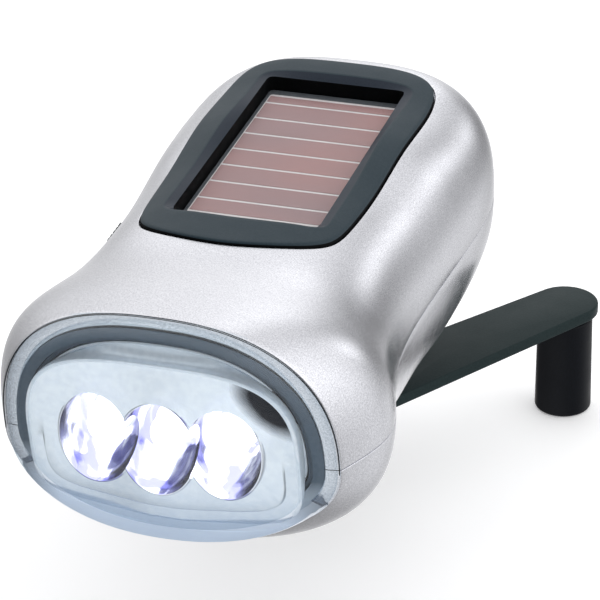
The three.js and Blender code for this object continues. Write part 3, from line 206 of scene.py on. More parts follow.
# Solar window; pairs are for the front and the back
BEZEL_FRONT_Y = 26.25
BEZEL_BACK_Y = 91.28
BEZEL_HALF_WIDTHS = (14.71, 16.26)
BEZEL_BELLY = 0.52
BEZEL_SIDE_SHIFT = -0.5
BEZEL_BOW = 5.79
BEZEL_SQUARENESS = (8.7, 7.28)
BEZEL_PROUD = 0.5
BEZEL_THICKNESS = 1.4
BEZEL_EDGE = 0.4
BEZEL_POINTS = 240
BEZEL_ROWS = 10
RECESS_EDGE = 0.2
RECESS_GAP = 0.22
RECESS_SHARES = (0.3, 0.6, 0.85, 1)
RECESS_TOP_Z = 42
EDGE_LAP = 0.2
EDGE_CLEAR = 0.01
SLOPE_STEP = 0.05
LEDGE_WIDTH = 1.6
WINDOW_HALF_WIDTH = 11
WINDOW_FRONT_Y = 38.2
WINDOW_BACK_Y = 84.6
WINDOW_CORNER = 1
SEARCH_REACH = 3.0
SEARCH_ROUNDS = 40
BEVEL_WIDTH = 1.25
BEVEL_RIM = 0.12
BEVEL_SINK = 0.06
WALL_TOP_Z = 17.9
LIP_FORWARD = 1.7
LIP_BOW = 1.75
LIP_REACH = 8
LIP_WALL = 0.2
PANEL_TOP_Z = 16.1
GLASS_THICKNESS = 1.1
CELL_THICKNESS = 0.5
TRAY_FLOOR = 1
TRAY_WALL = 1.2
TRAY_SHOULDER = 0.5
CELL_HALF_WIDTH = 9.93
STRIP_PITCH = 5.64
STRIP_COUNT = 7
STRIP_FRONT_Y = 40.03
STRIP_GAP = 0.6
STRIP_BACK_Y = 81.9
STRIP_THICKNESS = 0.05
STRIP_BORDER = 0.2
SHEET_FORWARD = 0.5
FIRST_STRIP_SHORT = 1.05
COVER_THICKNESS = 0.2
COVER_GAP = 0.1
COVER_EDGE = 0.1
SHEET_CORNER = 0.5
STRIP_CORNER = 0.125

# Crank
CRANK_Y = 55.3
CRANK_ANGLE = math.radians(55.2)
ARM_TOP_Z = -25
ARM_THICKNESS = 1.9
ARM_REACH = 58.1
ARM_END_RADIUS = 5.3
ARM_ROOT_RADIUS = 7.2
ARM_EDGE = 0.35
ARM_END_POINTS = 28
ARM_SIDE_POINTS = 24
HINGE_REACH = 9.5
HINGE_Z = -23.1
EYE_RADIUS = 1.7
HINGE_PIN_RADIUS = 0.9
BOSS_RADIUS = 3
BOSS_HEIGHT = 0.35
KNOB_TOP_RADIUS = 4.46
KNOB_FOOT_RADIUS = 4.62
KNOB_HEIGHT = 16.8
KNOB_EDGE = 0.55
KNOB_TAPER_SHARES = (0.33, 0.67)
SPINDLE_BORE_RADIUS = 1.7
KNOB_RECESS_RADIUS = 2.9
KNOB_RECESS_DEPTH = 1.7
KNOB_RECESS_EDGE = 0.15
HUB_RADIUS = 14
HUB_EDGE = 0.5
HUB_TOP_EDGE = 0.2
HUB_POINTS = 96
HUB_BOTTOM_Z = -24.6
HUB_TOP_Z = -17.6
HUB_FLOOR = 1.4
SHAFT_RADIUS = 3
SHAFT_TOP_Z = -15.3
TENON_HALF = 1.8
TENON_HEIGHT = 0.8
BUSH_WALL = 1.3
SCREW_RADIUS = 1
SCREW_HEAD_RADIUS = 2.1
POCKET_WALL = 1.2
POCKET_FLOOR = 1.4
SKIN_LEFT = 0.8

# Switch and housing screws
SWITCH_SLOT_Y = [46.5, 54.1]
SWITCH_SLOT_Z = [3.1, 6.1]
SWITCH_RECESS_Y = [44.3, 56.3]
SWITCH_RECESS_Z = [1.7, 7.5]
SWITCH_RECESS_X = -22.7
SWITCH_RECESS_CORNER = 1.2
SWITCH_SLOT_CORNER = 0.5
HOUSING_SCREW_PLACES = [(-19, 13), (19, 13), (-19, 90), (19, 90)]
SCREW_BOSS_RADIUS = 3.2
BOSS_TOP_Z = 12.5
PILOT_TOP_Z = 8.3
SCREW_SEAT_Z = -7

SEAM_HALF_WIDTH = HEAD_HALF_WIDTH * WIDTH_SHARES[0]
CRANK_AXIS = (0, CRANK_Y)
HUB_CEILING_Z = HUB_TOP_Z - HUB_FLOOR
ARM_BOTTOM_Z = ARM_TOP_Z - ARM_THICKNESS
KNOB_TOP_Z = ARM_BOTTOM_Z - BOSS_HEIGHT - FIT
KNOB_FOOT_Z = KNOB_TOP_Z - KNOB_HEIGHT
STOWED_KNOB_Y = CRANK_Y - (ARM_REACH - 2 * HINGE_REACH)
STOWED_KNOB_TOP_Z = 2 * HINGE_Z - KNOB_FOOT_Z
KNOB_POCKET_RADIUS = KNOB_FOOT_RADIUS + 2 * FIT
TRAY_TOP_Z = PANEL_TOP_Z - GLASS_THICKNESS - CELL_THICKNESS - 2 * FIT
PANEL_MIDDLE = (0, (WINDOW_FRONT_Y + WINDOW_BACK_Y) / 2)
BEZEL_MIDDLE_Y = (BEZEL_FRONT_Y + BEZEL_BACK_Y) / 2

joint_places = {joint["name"]: joint["pos_m"] for joint in frame["record"]["behaviour"]["joints"]
                if "pos_m" in joint}
TO_ROW = np.array([
    joint_places["crank_turn"][0] * 1000,
    joint_places["crank_turn"][1] * 1000 - CRANK_Y,
    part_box("solar_glass")[1].z * 1000 - PANEL_TOP_Z,
])


def row(points):
    """Head-frame millimetres to metres of the row frame."""
    return (np.asarray(points, float).reshape(-1, 3) + TO_ROW) / 1000


# Meshes

def linked(name, data):
    """A new object in the scene."""
    made = bpy.data.objects.new(name, data)
    bpy.context.scene.collection.objects.link(made)
    return made


def mesh_object(name, points, faces, smooth_angle=SMOOTH_ANGLE):
    """A mesh object with its faces turned outward and smooth up to an angle."""
    mesh = bpy.data.meshes.new(name)
    mesh.from_pydata(row(points).tolist(), [], [list(map(int, face)) for face in faces])
    work = bmesh.new()
    work.from_mesh(mesh)
    bmesh.ops.recalc_face_normals(work, faces=work.faces)
    work.to_mesh(mesh)
    work.free()
    shade(mesh, smooth_angle)
    return linked(name, mesh)


def shade(mesh, smooth_angle=SMOOTH_ANGLE):
    mesh.polygons.foreach_set("use_smooth", [True] * len(mesh.polygons))
    mesh.set_sharp_from_angle(angle=math.radians(smooth_angle))


def band(near, far, count, closed=True):
    """Quads between two rows of points, by the first index of each."""
    return [[near + j, near + (j + 1) % count, far + (j + 1) % count, far + j]
            for j in range(count if closed else count - 1)]


def fan(base, tip, count, closed=True):
    """Triangles between a row of points and a tip."""
    return [[base + j, base + (j + 1) % count, tip] for j in range(count if closed else count - 1)]


def grid_faces(rows, columns, closed=True, first=0):
    """Quads of a grid stored row by row; a closed grid joins its last column to its first."""
    faces = []
    for near in range(first, first + (rows - 1) * columns, columns):
        faces += band(near, near + columns, columns, closed)
    return faces


def rings_object(name, rings, ends=(), smooth_angle=SMOOTH_ANGLE):
    """A closed form lofted through rings: its two end points close it with fans, or, without
    them, its last ring joins its first."""
    count = len(rings[0])
    last = (len(rings) - 1) * count
    points = [point for ring in rings for point in ring]
    faces = grid_faces(len(rings), count)
    if not ends:
        faces += band(last, 0, count)
    for end, base in zip(ends, (0, last)):
        faces += fan(base, len(points), count)
        points.append(end)
    return mesh_object(name, points, faces, smooth_angle)


def poles(centre, low, high):
    """The end points of an upright lofted form."""
    return (*centre, low), (*centre, high)


def slab(near, far):
    """A solid between two outlines with as many points as each other."""
    count = len(near)
    ends = [list(range(count)), list(range(count, 2 * count))]
    return mesh_object("tool", near + far, ends + band(0, count, count))


def prism(outline, low, high):
    """An upright solid with this outline."""
    return slab([(x, y, low) for x, y in outline], [(x, y, high) for x, y in outline])


def full_turn(count):
    """Evenly spaced angles once round."""
    return np.linspace(0, 2 * math.pi, count, endpoint=False)


def disc(radius, low, high, centre=(0, 0)):
    return prism([(centre[0] + radius * math.cos(a), centre[1] + radius * math.sin(a))
                  for a in full_turn(ROUND_POINTS)], low, high)


def either_side(reach):
    return (-reach, reach)


def block(xs, ys, zs):
    """A box, by its spans."""
    return prism([(xs[0], ys[0]), (xs[1], ys[0]), (xs[1], ys[1]), (xs[0], ys[1])], zs[0], zs[1])


def rounded_box(width, height, corner):
    """Outline of a rounded rectangle about the origin."""
    points = []
    for turn, (a, b) in enumerate([(1, 1), (-1, 1), (-1, -1), (1, -1)]):
        for i in range(CORNER_STEPS + 1):
            angle = math.pi / 2 * (turn + i / CORNER_STEPS)
            points.append((a * (width / 2 - corner) + corner * math.cos(angle),
                           b * (height / 2 - corner) + corner * math.sin(angle)))
    return points


def bar_along_x(x_low, x_high, ys, zs, corner):
    """A rounded bar, by its spans in Y and Z."""
    outline = rounded_box(ys[1] - ys[0], zs[1] - zs[0], corner)
    return slab(*[[(x, sum(ys) / 2 + a, sum(zs) / 2 + b) for a, b in outline] for x in (x_low, x_high)])


def ovals_along_y(name, x, z, profile, count, tip=None):
    """A solid of upright ovals, from each one's half-width, half-height and y; tip is the y of
    its last point, where that isn't the last oval's."""
    turn = full_turn(count)
    rings = [np.stack([x + wide * np.cos(turn), np.full(count, y), z + tall * np.sin(turn)], -1)
             for wide, tall, y in profile]
    end = profile[-1][2] if tip is None else tip
    return rings_object(name, rings, ((x, profile[0][2], z), (x, end, z)))


def turned_rings(profile, centre, count=ROUND_POINTS):
    """Level rings round an upright axis, from pairs of radius and height."""
    turn = full_turn(count)
    return [np.stack([centre[0] + r * np.cos(turn), centre[1] + r * np.sin(turn),
                      np.full(count, z)], -1) for r, z in profile]


def rounding(radius, points):
    """A rounded rim: how far each of its points is drawn in, and how far along it lies."""
    turn = np.linspace(0, math.pi / 2, points)
    return list(zip(radius * (1 - np.sin(turn)), radius * (1 - np.cos(turn))))


def combine(operation, target, *tools):
    """target joined with, cut by or met with each tool in turn; the tools are used up."""
    for tool in tools:
        modifier = target.modifiers.new(operation.lower(), "BOOLEAN")
        modifier.operation = operation
        modifier.solver = "MANIFOLD"
        modifier.object = tool
        graph = bpy.context.evaluated_depsgraph_get()
        made = bpy.data.meshes.new_from_object(target.evaluated_get(graph))
        target.modifiers.clear()
        target.data = made
        shade(made)
        bpy.data.objects.remove(tool)
    return target


def cut(target, *tools):
    return combine("DIFFERENCE", target, *tools)


def join(target, *tools):
    return combine("UNION", target, *tools)


def merged(name, objects):
    """One object from several that don't touch."""
    work = bmesh.new()
    for item in objects:
        work.from_mesh(item.data)
    mesh = bpy.data.meshes.new(name)
    work.to_mesh(mesh)
    work.free()
    for item in objects:
        bpy.data.objects.remove(item)
    shade(mesh)
    return linked(name, mesh)


def paint_faces(mesh, numbers, material):
    """Gives faces a material, both by their place in the lists."""
    for number in numbers:
        mesh.polygons[number].material_index = material


def finish_piece(piece, name, body, materials, slot, *nodes):
    """Names a piece, gives it its materials, hangs it on the body it rides on and hides the CAD nodes it
    stands for. slot is not used."""
    piece.name = name
    piece.data.materials.clear()
    for material in materials:
        piece.data.materials.append(material)
    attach(piece, body)
    if nodes:
        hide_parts(*nodes)
    return piece


# Body form

def natural_spline(places, values):
    """A smooth curve through values at places, as a function."""
    places = np.asarray(places, float)
    values = np.asarray(values, float)
    count = len(places)
    step = np.diff(places)
    matrix = np.eye(count)
    right = np.zeros(count)
    for i in range(1, count - 1):
        matrix[i, i - 1:i + 2] = [step[i - 1], 2 * (step[i - 1] + step[i]), step[i]]
        right[i] = 6 * ((values[i + 1] - values[i]) / step[i]
                        - (values[i] - values[i - 1]) / step[i - 1])
    bend = np.linalg.solve(matrix, right)

    def at(share):
        share = np.asarray(share, float)
        k = np.clip(np.searchsorted(places, share, side="right") - 1, 0, count - 2)
        left = share - places[k]
        rest = places[k + 1] - share
        return ((bend[k] * rest ** 3 + bend[k + 1] * left ** 3) / (6 * step[k])
                + (values[k + 1] / step[k] - bend[k + 1] * step[k] / 6) * left
                + (values[k] / step[k] - bend[k] * step[k] / 6) * rest)
    return at


width_at = natural_spline(STATION_SHARES, WIDTH_SHARES)
rise_at = natural_spline(STATION_SHARES, RISE_SHARES)
depth_at = natural_spline(STATION_SHARES, DEPTH_SHARES)


def blend(pair, share):
    """A value part of the way from the first of a pair to the second."""
    return pair[0] + (pair[1] - pair[0]) * share


def rounded(value, power):
    """A power of a value's size, with the value's sign."""
    return np.sign(value) * np.abs(value) ** power


def seam_y(x, z):
    """How far back the seam between lens and body lies at a place seen from the front."""
    return SEAM_LEAN * z + SEAM_SWEEP * (x / SEAM_HALF_WIDTH) ** 2


def section(share, inset):
    """Half-width, rise and depth of the body at a share of its length, drawn in by an inset."""
    share = np.maximum(np.asarray(share, float), 0)
    tail = np.clip((share - TAIL_START_SHARE) / (1 - TAIL_START_SHARE), 0, 1)
    closing = np.maximum(1 - tail ** TAIL_ROUNDNESS, 0) ** (1 / TAIL_ROUNDNESS)
    return ((HEAD_HALF_WIDTH * width_at(share) - inset) * closing,
            (BACK_RISE * rise_at(share) - inset) * closing,
            (BELLY_DEPTH * depth_at(share) - inset) * closing)


def skin(share, angle, inset=0.0, shift=0.0):
    """Points of the body's form, at shares of its length and angles round it."""
    share, angle, inset = np.broadcast_arrays(
        np.asarray(share, float), np.asarray(angle, float), np.asarray(inset, float))
    width, rise, depth = section(share, inset)
    upward = np.sin(angle) >= LEVEL
    station = np.clip(share, 0, 1)
    power = 2 / np.where(upward, blend(UPPER_SQUARENESS, station), blend(LOWER_SQUARENESS, station))
    x = width * rounded(np.cos(angle), power)
    z = np.where(upward, rise, depth) * rounded(np.sin(angle), power)
    y = share * (BODY_LENGTH - inset) + seam_y(x, z) * (1 - station) ** 2 + shift
    return np.stack([x, y, z], -1)


def mouth_angles():
    """Angles whose points lie about evenly round the mouth of the body."""
    fine = np.linspace(0, 2 * math.pi, MOUTH_SAMPLES)
    points = skin(0, fine)
    length = np.concatenate([[0], np.cumsum(np.linalg.norm(np.diff(points, axis=0), axis=1))])
    return np.interp(np.linspace(0, length[-1], LENS_POINTS, endpoint=False), length, fine)


MOUTH_ANGLES = mouth_angles()


def mouth(inset, shift=0.0):
    """A ring round the mouth of the body, drawn in by an inset and moved back."""
    return skin(0, MOUTH_ANGLES, inset, shift)


def mouth_ring(depth, inset):
    """A ring that follows the body's wall at a depth behind the seam."""
    return skin(depth / (BODY_LENGTH - inset), MOUTH_ANGLES, inset)


def surface_height(x, y, inset):
    """Height of the upper skin over a place in plan."""
    x, y = np.broadcast_arrays(np.asarray(x, float), np.asarray(y, float))
    share = y / (BODY_LENGTH - inset)
    for _ in range(HEIGHT_ROUNDS):
        share = np.clip(share, 0, LAST_SHARE)
        width, rise, _ = section(share, inset)
        power = blend(UPPER_SQUARENESS, share)
        z = rise * np.maximum(1 - np.abs(x / width) ** power, 0) ** (1 / power)
        share = (y - seam_y(x, z) * (1 - share) ** 2) / (BODY_LENGTH - inset)
    return z


# Shells

def half_grid(side, inset, edge):
    """Points of one half, column by column from the seam to the tail, each column going over
    from the right parting edge to the left one. edge is how far the free edges are rounded."""
    turn = np.linspace(0, math.pi / 2, EDGE_STEPS + 1)
    drawn = edge * (1 - np.sin(turn))
    along = EDGE_RADIUS * (1 - np.cos(turn))
    tail_turn = np.linspace(0, TAIL_END_ANGLE, TAIL_COLUMNS + 1)[1:]
    tail = TAIL_START_SHARE + (1 - TAIL_START_SHARE) * np.sin(tail_turn) ** (2 / TAIL_ROUNDNESS)
    near = along / BODY_LENGTH
    shares = np.concatenate([near, np.linspace(near[-1], TAIL_START_SHARE, BODY_COLUMNS)[1:], tail])
    column_inset = np.concatenate([drawn, np.zeros(len(shares) - len(drawn))])
    columns = []
    for share, mouth_inset in zip(shares, column_inset):
        _, rise, depth = section(share, inset)
        height = rise if side > 0 else depth
        power = blend(UPPER_SQUARENESS if side > 0 else LOWER_SQUARENESS, share)
        low = np.minimum((PARTING_GAP / 2 + along) / height, STEEPEST_START)
        low_angles = np.arcsin(low ** (power / 2))
        over = np.linspace(low_angles[-1], math.pi - low_angles[-1], SIDE_ROWS)[1:-1]
        angles = np.concatenate([low_angles, over, math.pi - low_angles[::-1]])
        row_inset = np.concatenate([drawn, np.zeros(len(over)), drawn[::-1]])
        columns.append(skin(share, side * angles, inset + np.maximum(row_inset, mouth_inset)))
    return np.array(columns)


def half_shell(side):
    """A hollow half of the body, open at the seam and at the parting plane."""
    outer = half_grid(side, 0, EDGE_RADIUS)
    inner = half_grid(side, WALL, 0)
    columns, rows_over = outer.shape[:2]
    count = columns * rows_over
    last = count - rows_over
    points = list(outer.reshape(-1, 3)) + list(inner.reshape(-1, 3))
    tips = (len(points), len(points) + 1)
    rim = PARTING_GAP / 2 * side
    points += [(0, BODY_LENGTH, rim), (0, BODY_LENGTH - WALL, rim)]
    faces = grid_faces(columns, rows_over, closed=False)
    faces += grid_faces(columns, rows_over, closed=False, first=count)
    for near in range(0, last, rows_over):
        for edge in (near, near + rows_over - 1):
            faces.append([edge, edge + rows_over, count + edge + rows_over, count + edge])
    faces += band(0, count, rows_over, closed=False)
    for start, tip in zip((0, count), tips):
        faces += fan(start + last, tip, rows_over, closed=False)
    for edge in (last, last + rows_over - 1):
        faces.append([edge, *tips, count + edge])
    return mesh_object("shell", points, faces)


def keep_form_normals(shell, side):
    """Gives the cut shell the smooth normals of its uncut form, so the cuts leave no marks."""
    grid = half_grid(side, 0, EDGE_RADIUS)
    form = mesh_object("form", grid.reshape(-1, 3), grid_faces(*grid.shape[:2], closed=False), 180)
    tree = BVHTree.FromPolygons([v.co for v in form.data.vertices],
                                [tuple(p.vertices) for p in form.data.polygons])
    mesh = shell.data
    found = {}
    for vertex in mesh.vertices:
        _, _, index, distance = tree.find_nearest(vertex.co)
        if distance > ON_FORM:
            continue
        total = Vector()
        for corner in form.data.polygons[index].vertices:
            near = form.data.vertices[corner]
            total += near.normal / ((near.co - vertex.co).length + NEVER_ZERO)
        found[vertex.index] = total.normalized()
    normals = [corner.vector.copy() for corner in mesh.corner_normals]
    for polygon in mesh.polygons:
        for loop, vertex in zip(polygon.loop_indices, polygon.vertices):
            normal = found.get(vertex)
            if normal is None:
                continue
            facing = normal.dot(polygon.normal)
            if abs(facing) > SAME_WAY:
                normals[loop] = normal if facing > 0 else -normal
    mesh.normals_split_custom_set(normals)
    bpy.data.objects.remove(form)


def half_solid(side, inset):
    """A solid half of the body's form at an inset, for trimming inner walls."""
    grid = half_grid(side, inset, 0)
    columns, rows_over = grid.shape[:2]
    points = list(grid.reshape(-1, 3)) + [(0, BODY_LENGTH - inset, PARTING_GAP / 2 * side)]
    faces = grid_faces(columns, rows_over) + [list(range(rows_over))]
    faces += fan((columns - 1) * rows_over, len(points) - 1, rows_over)
    return mesh_object("form", points, faces)


# Solar window outlines

def bezel_outline(margin):
    """The bezel in plan: a squarish oval, wider at the back, with a bowed front."""
    turn = full_turn(BEZEL_POINTS)
    power = np.where(np.sin(turn) < 0, *BEZEL_SQUARENESS)
    reach = (np.abs(np.cos(turn)) ** power + np.abs(np.sin(turn)) ** power) ** (-1 / power)
    across = reach * np.cos(turn)
    along = reach * np.sin(turn)
    half_width = (blend(BEZEL_HALF_WIDTHS, (along + 1) / 2) + BEZEL_BELLY * (1 - along ** 2)
                  + margin)
    half_length = (BEZEL_BACK_Y - BEZEL_FRONT_Y) / 2 + margin
    bow = BEZEL_BOW * across ** 2 * np.maximum(-along, 0) ** 3
    return np.stack([BEZEL_SIDE_SHIFT + half_width * across,
                     BEZEL_MIDDLE_Y + half_length * along + bow], -1)


def window_outline(margin):
    """The rounded window, with a point on the same bearing as each of the bezel outline's."""
    half = np.array([WINDOW_HALF_WIDTH, (WINDOW_BACK_Y - WINDOW_FRONT_Y) / 2])
    bearing = ((bezel_outline(0) - [BEZEL_SIDE_SHIFT, BEZEL_MIDDLE_Y])
               / [BEZEL_HALF_WIDTHS[1], (BEZEL_BACK_Y - BEZEL_FRONT_Y) / 2] * half)
    low = np.zeros(BEZEL_POINTS)
    high = np.full(BEZEL_POINTS, SEARCH_REACH)
    for _ in range(SEARCH_ROUNDS):
        share = (low + high) / 2
        place = np.abs(bearing * share[:, None]) - (half - WINDOW_CORNER)
        beyond = np.linalg.norm(np.maximum(place, 0), axis=1)
        beyond = beyond + np.minimum(np.max(place, axis=1), 0)
        outside = beyond > WINDOW_CORNER + margin
        high = np.where(outside, share, high)
        low = np.where(outside, low, share)
    return np.array(PANEL_MIDDLE) + bearing * low[:, None]


def lip_outline(margin):
    """The window's upper rim, whose front edge lies further forward and is bowed."""
    outline = window_outline(margin)
    share = np.clip((WINDOW_FRONT_Y + LIP_REACH - outline[:, 1]) / LIP_REACH, 0, 1)
    across = np.clip(outline[:, 0] / WINDOW_HALF_WIDTH, -1, 1)
    outline[:, 1] -= share * (LIP_FORWARD + LIP_BOW * (1 - across ** 2))
    return outline


def raised(outline, z):
    """An outline given a height."""
    return np.column_stack([outline, np.broadcast_to(z, len(outline))])


def on_skin(outline, inset, lower=0.0):
    """An outline laid on the upper skin, at an inset and lower by a little."""
    return raised(outline, surface_height(outline[:, 0], outline[:, 1], inset) - lower)


def recess_cutter():
    """The seat of the bezel: its outline down to a floor that follows the skin."""
    outline = bezel_outline(RECESS_GAP)
    ledge = BEZEL_THICKNESS - BEZEL_PROUD + FIT
    centre = outline.mean(axis=0)
    rings = [on_skin(centre + (outline - centre) * share, ledge) for share in RECESS_SHARES]
    rings.append(raised(outline, RECESS_TOP_Z))
    floor_z = float(surface_height(*centre, ledge))
    return rings_object("tool", rings, poles(centre, floor_z, RECESS_TOP_Z))


def edge_cutter(outline, radius):
    """A closed moulding that rounds the rim of a hole with this outline in the upper skin."""
    here = on_skin(outline, 0)
    z = here[:, 2]
    slope_x = (surface_height(outline[:, 0] + SLOPE_STEP, outline[:, 1], 0) - z) / SLOPE_STEP
    slope_y = (surface_height(outline[:, 0], outline[:, 1] + SLOPE_STEP, 0) - z) / SLOPE_STEP
    up = np.stack([-slope_x, -slope_y, np.ones(len(z))], -1)
    up /= np.linalg.norm(up, axis=1)[:, None]
    forward = np.roll(here, -1, axis=0) - np.roll(here, 1, axis=0)
    out = np.cross(forward, up)
    out /= np.linalg.norm(out, axis=1)[:, None]
    profile = [(-EDGE_LAP, OVERRUN), (radius + EDGE_CLEAR, OVERRUN)]
    profile += [(inward, -down) for inward, down in rounding(radius, SMALL_RIM_POINTS)]
    profile += [(-EDGE_LAP, -radius)]
    rings = [here + out * b + up * n for b, n in profile]
    return rings_object("tool", rings)


# Materials

def give(socket, value):
    """Gives a socket its value: another node's output, a colour or a number."""
    if isinstance(value, bpy.types.NodeSocket):
        socket.id_data.links.new(value, socket)
    elif socket.type == "RGBA":
        socket.default_value = (*value, 1)
    else:
        socket.default_value = value


def feed(node, *values, **named):
    """Gives a node's sockets their values, in order or by name."""
    for socket, value in zip(node.inputs, values):
        give(socket, value)
    for key, value in named.items():
        give(node.inputs[key.replace("_", " ")], value)
    return node


def add_node(tree, kind, *values, **named):
    return feed(tree.nodes.new(f"ShaderNode{kind}"), *values, **named)


def place_node(tree):
    return add_node(tree, "TexCoord").outputs["Object"]


def slant(tree, blend_share):
    """How far the surface turns away from the eye."""
    return add_node(tree, "LayerWeight", Blend=blend_share).outputs["Facing"]


def noise(tree, scale, detail, stretch=None):
    """A noise texture in the object's own space; scale is in grains per metre."""
    place = place_node(tree)
    if stretch:
        place = add_node(tree, "Mapping", Vector=place, Scale=stretch).outputs["Vector"]
    return add_node(tree, "TexNoise", Vector=place, Scale=scale, Detail=detail).outputs["Fac"]


def mapped(tree, value, low, high, start=0.0, end=1.0):
    """Carries a value's span from start to end over to one from low to high."""
    return add_node(tree, "MapRange", Value=value, From_Min=start, From_Max=end,
                    To_Min=low, To_Max=high).outputs["Result"]


def mixed(tree, factor, first, second):
    """A colour between two, each given as numbers or as a socket."""
    node = add_node(tree, "Mix", Factor=factor)
    node.data_type = "RGBA"
    for socket, value in zip([s for s in node.inputs if s.type == "RGBA"], (first, second)):
        give(socket, value)
    return [s for s in node.outputs if s.type == "RGBA"][0]


def calculated(tree, operation, first, second):
    """A math node on two values, each given as a number or as a socket."""
    node = add_node(tree, "Math", first, second)
    node.operation = operation
    return node.outputs["Value"]


def dot_product(tree, vector, direction):
    node = add_node(tree, "VectorMath", vector, direction)
    node.operation = "DOT_PRODUCT"
    return node.outputs["Value"]


def bump(tree, height, strength, distance):
    return add_node(tree, "Bump", Height=height, Strength=strength, Distance=distance).outputs["Normal"]


def object_height(tree, low, high, first, last):
    """A value that goes from one number to another over a span of head-frame heights."""
    parts = add_node(tree, "SeparateXYZ", Vector=place_node(tree))
    return mapped(tree, parts.outputs["Z"], first, last, (TO_ROW[2] + low) / 1000,
                  (TO_ROW[2] + high) / 1000)


def new_material(name, colour, roughness, metallic=0.0, specular=0.5, **sockets):
    material = bpy.data.materials.new(name)
    material.use_nodes = True
    feed(shader_of(material)[1], Base_Color=colour, Roughness=roughness, Metallic=metallic,
         Specular_IOR_Level=specular, **sockets)
    return material


def shader_of(material):
    """A material's node tree and its main shader."""
    return material.node_tree, material.node_tree.nodes["Principled BSDF"]


def grained(name, first, second, roughness, grain, strength, spread=0.08, **sockets):
    """A finish with fine grain: two near colours, roughness that varies by a spread, grains per
    metre and a light bump."""
    material = new_material(name, first, roughness, **sockets)
    tree, shader = shader_of(material)
    fine = noise(tree, grain, 3)
    broad = noise(tree, grain / 14, 2)
    feed(shader,
         Base_Color=mixed(tree, mapped(tree, fine, 0, 1, 0.35, 0.65), first, second),
         Roughness=mapped(tree, broad, roughness - spread, roughness + spread, 0.3, 0.7),
         Normal=bump(tree, fine, strength, 0.00005))
    return material


def clear_plastic(name, tint, edge_tint, gloss_share, slant_gloss, low_tint=None):
    """Clear moulding: lets the view through, tinted more where it is seen at a slant and,
    with low_tint, towards its foot."""
    material = bpy.data.materials.new(name)
    material.use_nodes = True
    tree = material.node_tree
    tree.nodes.clear()
    facing = slant(tree, 0.5)
    colour = mixed(tree, mapped(tree, facing, 0, 1, 0.45, 1), tint, edge_tint)
    share = mapped(tree, calculated(tree, "POWER", facing, 4), gloss_share, slant_gloss)
    if low_tint:
        lowness = object_height(tree, TINT_FULL_Z, TINT_TOP_Z, 1, 0)
        colour = mixed(tree, lowness, colour, low_tint)
        kept = object_height(tree, TINT_FULL_Z, TINT_TOP_Z, LOW_GLOSS, 1)
        share = calculated(tree, "MULTIPLY", share, kept)
    through = add_node(tree, "BsdfTransparent", Color=colour)
    gloss = add_node(tree, "BsdfGlossy", Roughness=0.03,
                     Normal=bump(tree, noise(tree, 260, 2), 0.02, 0.0001))
    both = add_node(tree, "MixShader", share, through.outputs["BSDF"], gloss.outputs["BSDF"])
    add_node(tree, "OutputMaterial", Surface=both.outputs["Shader"])
    return material


def lamp_glow():
    """The lit lamp: white, a little violet away from the middle of its dome."""
    material = new_material("lamp_glow", (1, 1, 1), 0.1, Emission_Strength=LAMP_STRENGTH)
    tree, shader = shader_of(material)
    feed(shader, Emission_Color=mixed(tree, slant(tree, 0.4), (1, 0.98, 1), (0.8, 0.8, 1)))
    return material


def lens_mask():
    """The rim and foot of the lens, from inside: dark above, frosted below; the change from dark to pale
    by height is partly the frosting and partly painted light, and a faint emission below is a painted
    glow.
    """
    material = grained("lens_mask", (0.052, 0.084, 0.12), (0.066, 0.1, 0.14), 0.5, 1600, 0.08, 0.03)
    tree, shader = shader_of(material)
    dark = shader.inputs["Base Color"].links[0].from_socket
    share = object_height(tree, FROST_FULL_Z, FROST_TOP_Z, 1, 0)
    pale = mixed(tree, noise(tree, 900, 2), (0.76, 0.8, 0.86), (0.82, 0.86, 0.91))
    # Paler frost and a faint painted glow towards the foot stand in for light inside the lens
    feed(shader,
         Base_Color=mixed(tree, share, dark, pale),
         Emission_Color=(0.84, 0.91, 1),
         Emission_Strength=calculated(tree, "MULTIPLY", share, FROST_PAINTED_GLOW))
    return material


def mirror_plate():
    """Plated face with a painted reflection: a soft dark patch at its upper right."""
    material = grained("mirror_plate", (0.86, 0.89, 0.93), (0.8, 0.84, 0.9), 0.17, 900, 0.03, 0.03,
                       metallic=1.0)
    tree, shader = shader_of(material)
    bright = shader.inputs["Base Color"].links[0].from_socket
    centre = row((DARK_REFLECTION_X, 0, DARK_REFLECTION_Z))[0]
    lean = math.radians(DARK_REFLECTION_LEAN)
    total = 0
    for direction, half in (((math.cos(lean), 0, math.sin(lean)), DARK_REFLECTION_HALF_LENGTH),
                            ((-math.sin(lean), 0, math.cos(lean)), DARK_REFLECTION_HALF_WIDTH)):
        along = dot_product(tree, place_node(tree), direction)
        offset = calculated(tree, "SUBTRACT", along, float(np.dot(centre, direction)))
        share = calculated(tree, "MULTIPLY", offset, 1000 / half)
        total = calculated(tree, "ADD", calculated(tree, "MULTIPLY", share, share), total)
    uneven = mapped(tree, noise(tree, 240, 1), -0.15, 0.15)
    depth = mapped(tree, calculated(tree, "ADD", total, uneven), 1, 0, 0.4, 1.5)
    # The dark patch is a painted reflection laid over the plate's colour
    feed(shader, Base_Color=mixed(tree, depth, bright, (0.001, 0.003, 0.008)))
    return material


def cup_mirror():
    """Bright metal with violet patches of painted shade, laid by noise, standing for moulded facets that
    turn away from the lamp.
    """
    material = new_material("cup_mirror", (0.9, 0.9, 0.96), 0.12, 1.0)
    tree, shader = shader_of(material)
    patch = noise(tree, 330, 1, (1.0, 1.0, 0.35))
    # The violet patches are painted shade on the cups' walls
    shade_share = mapped(tree, patch, 0, 1, 0.52, 0.6)
    feed(shader,
         Base_Color=mixed(tree, shade_share, (0.93, 0.93, 0.98), (0.36, 0.36, 0.6)),
         Normal=bump(tree, patch, 0.3, 0.0006))
    return material


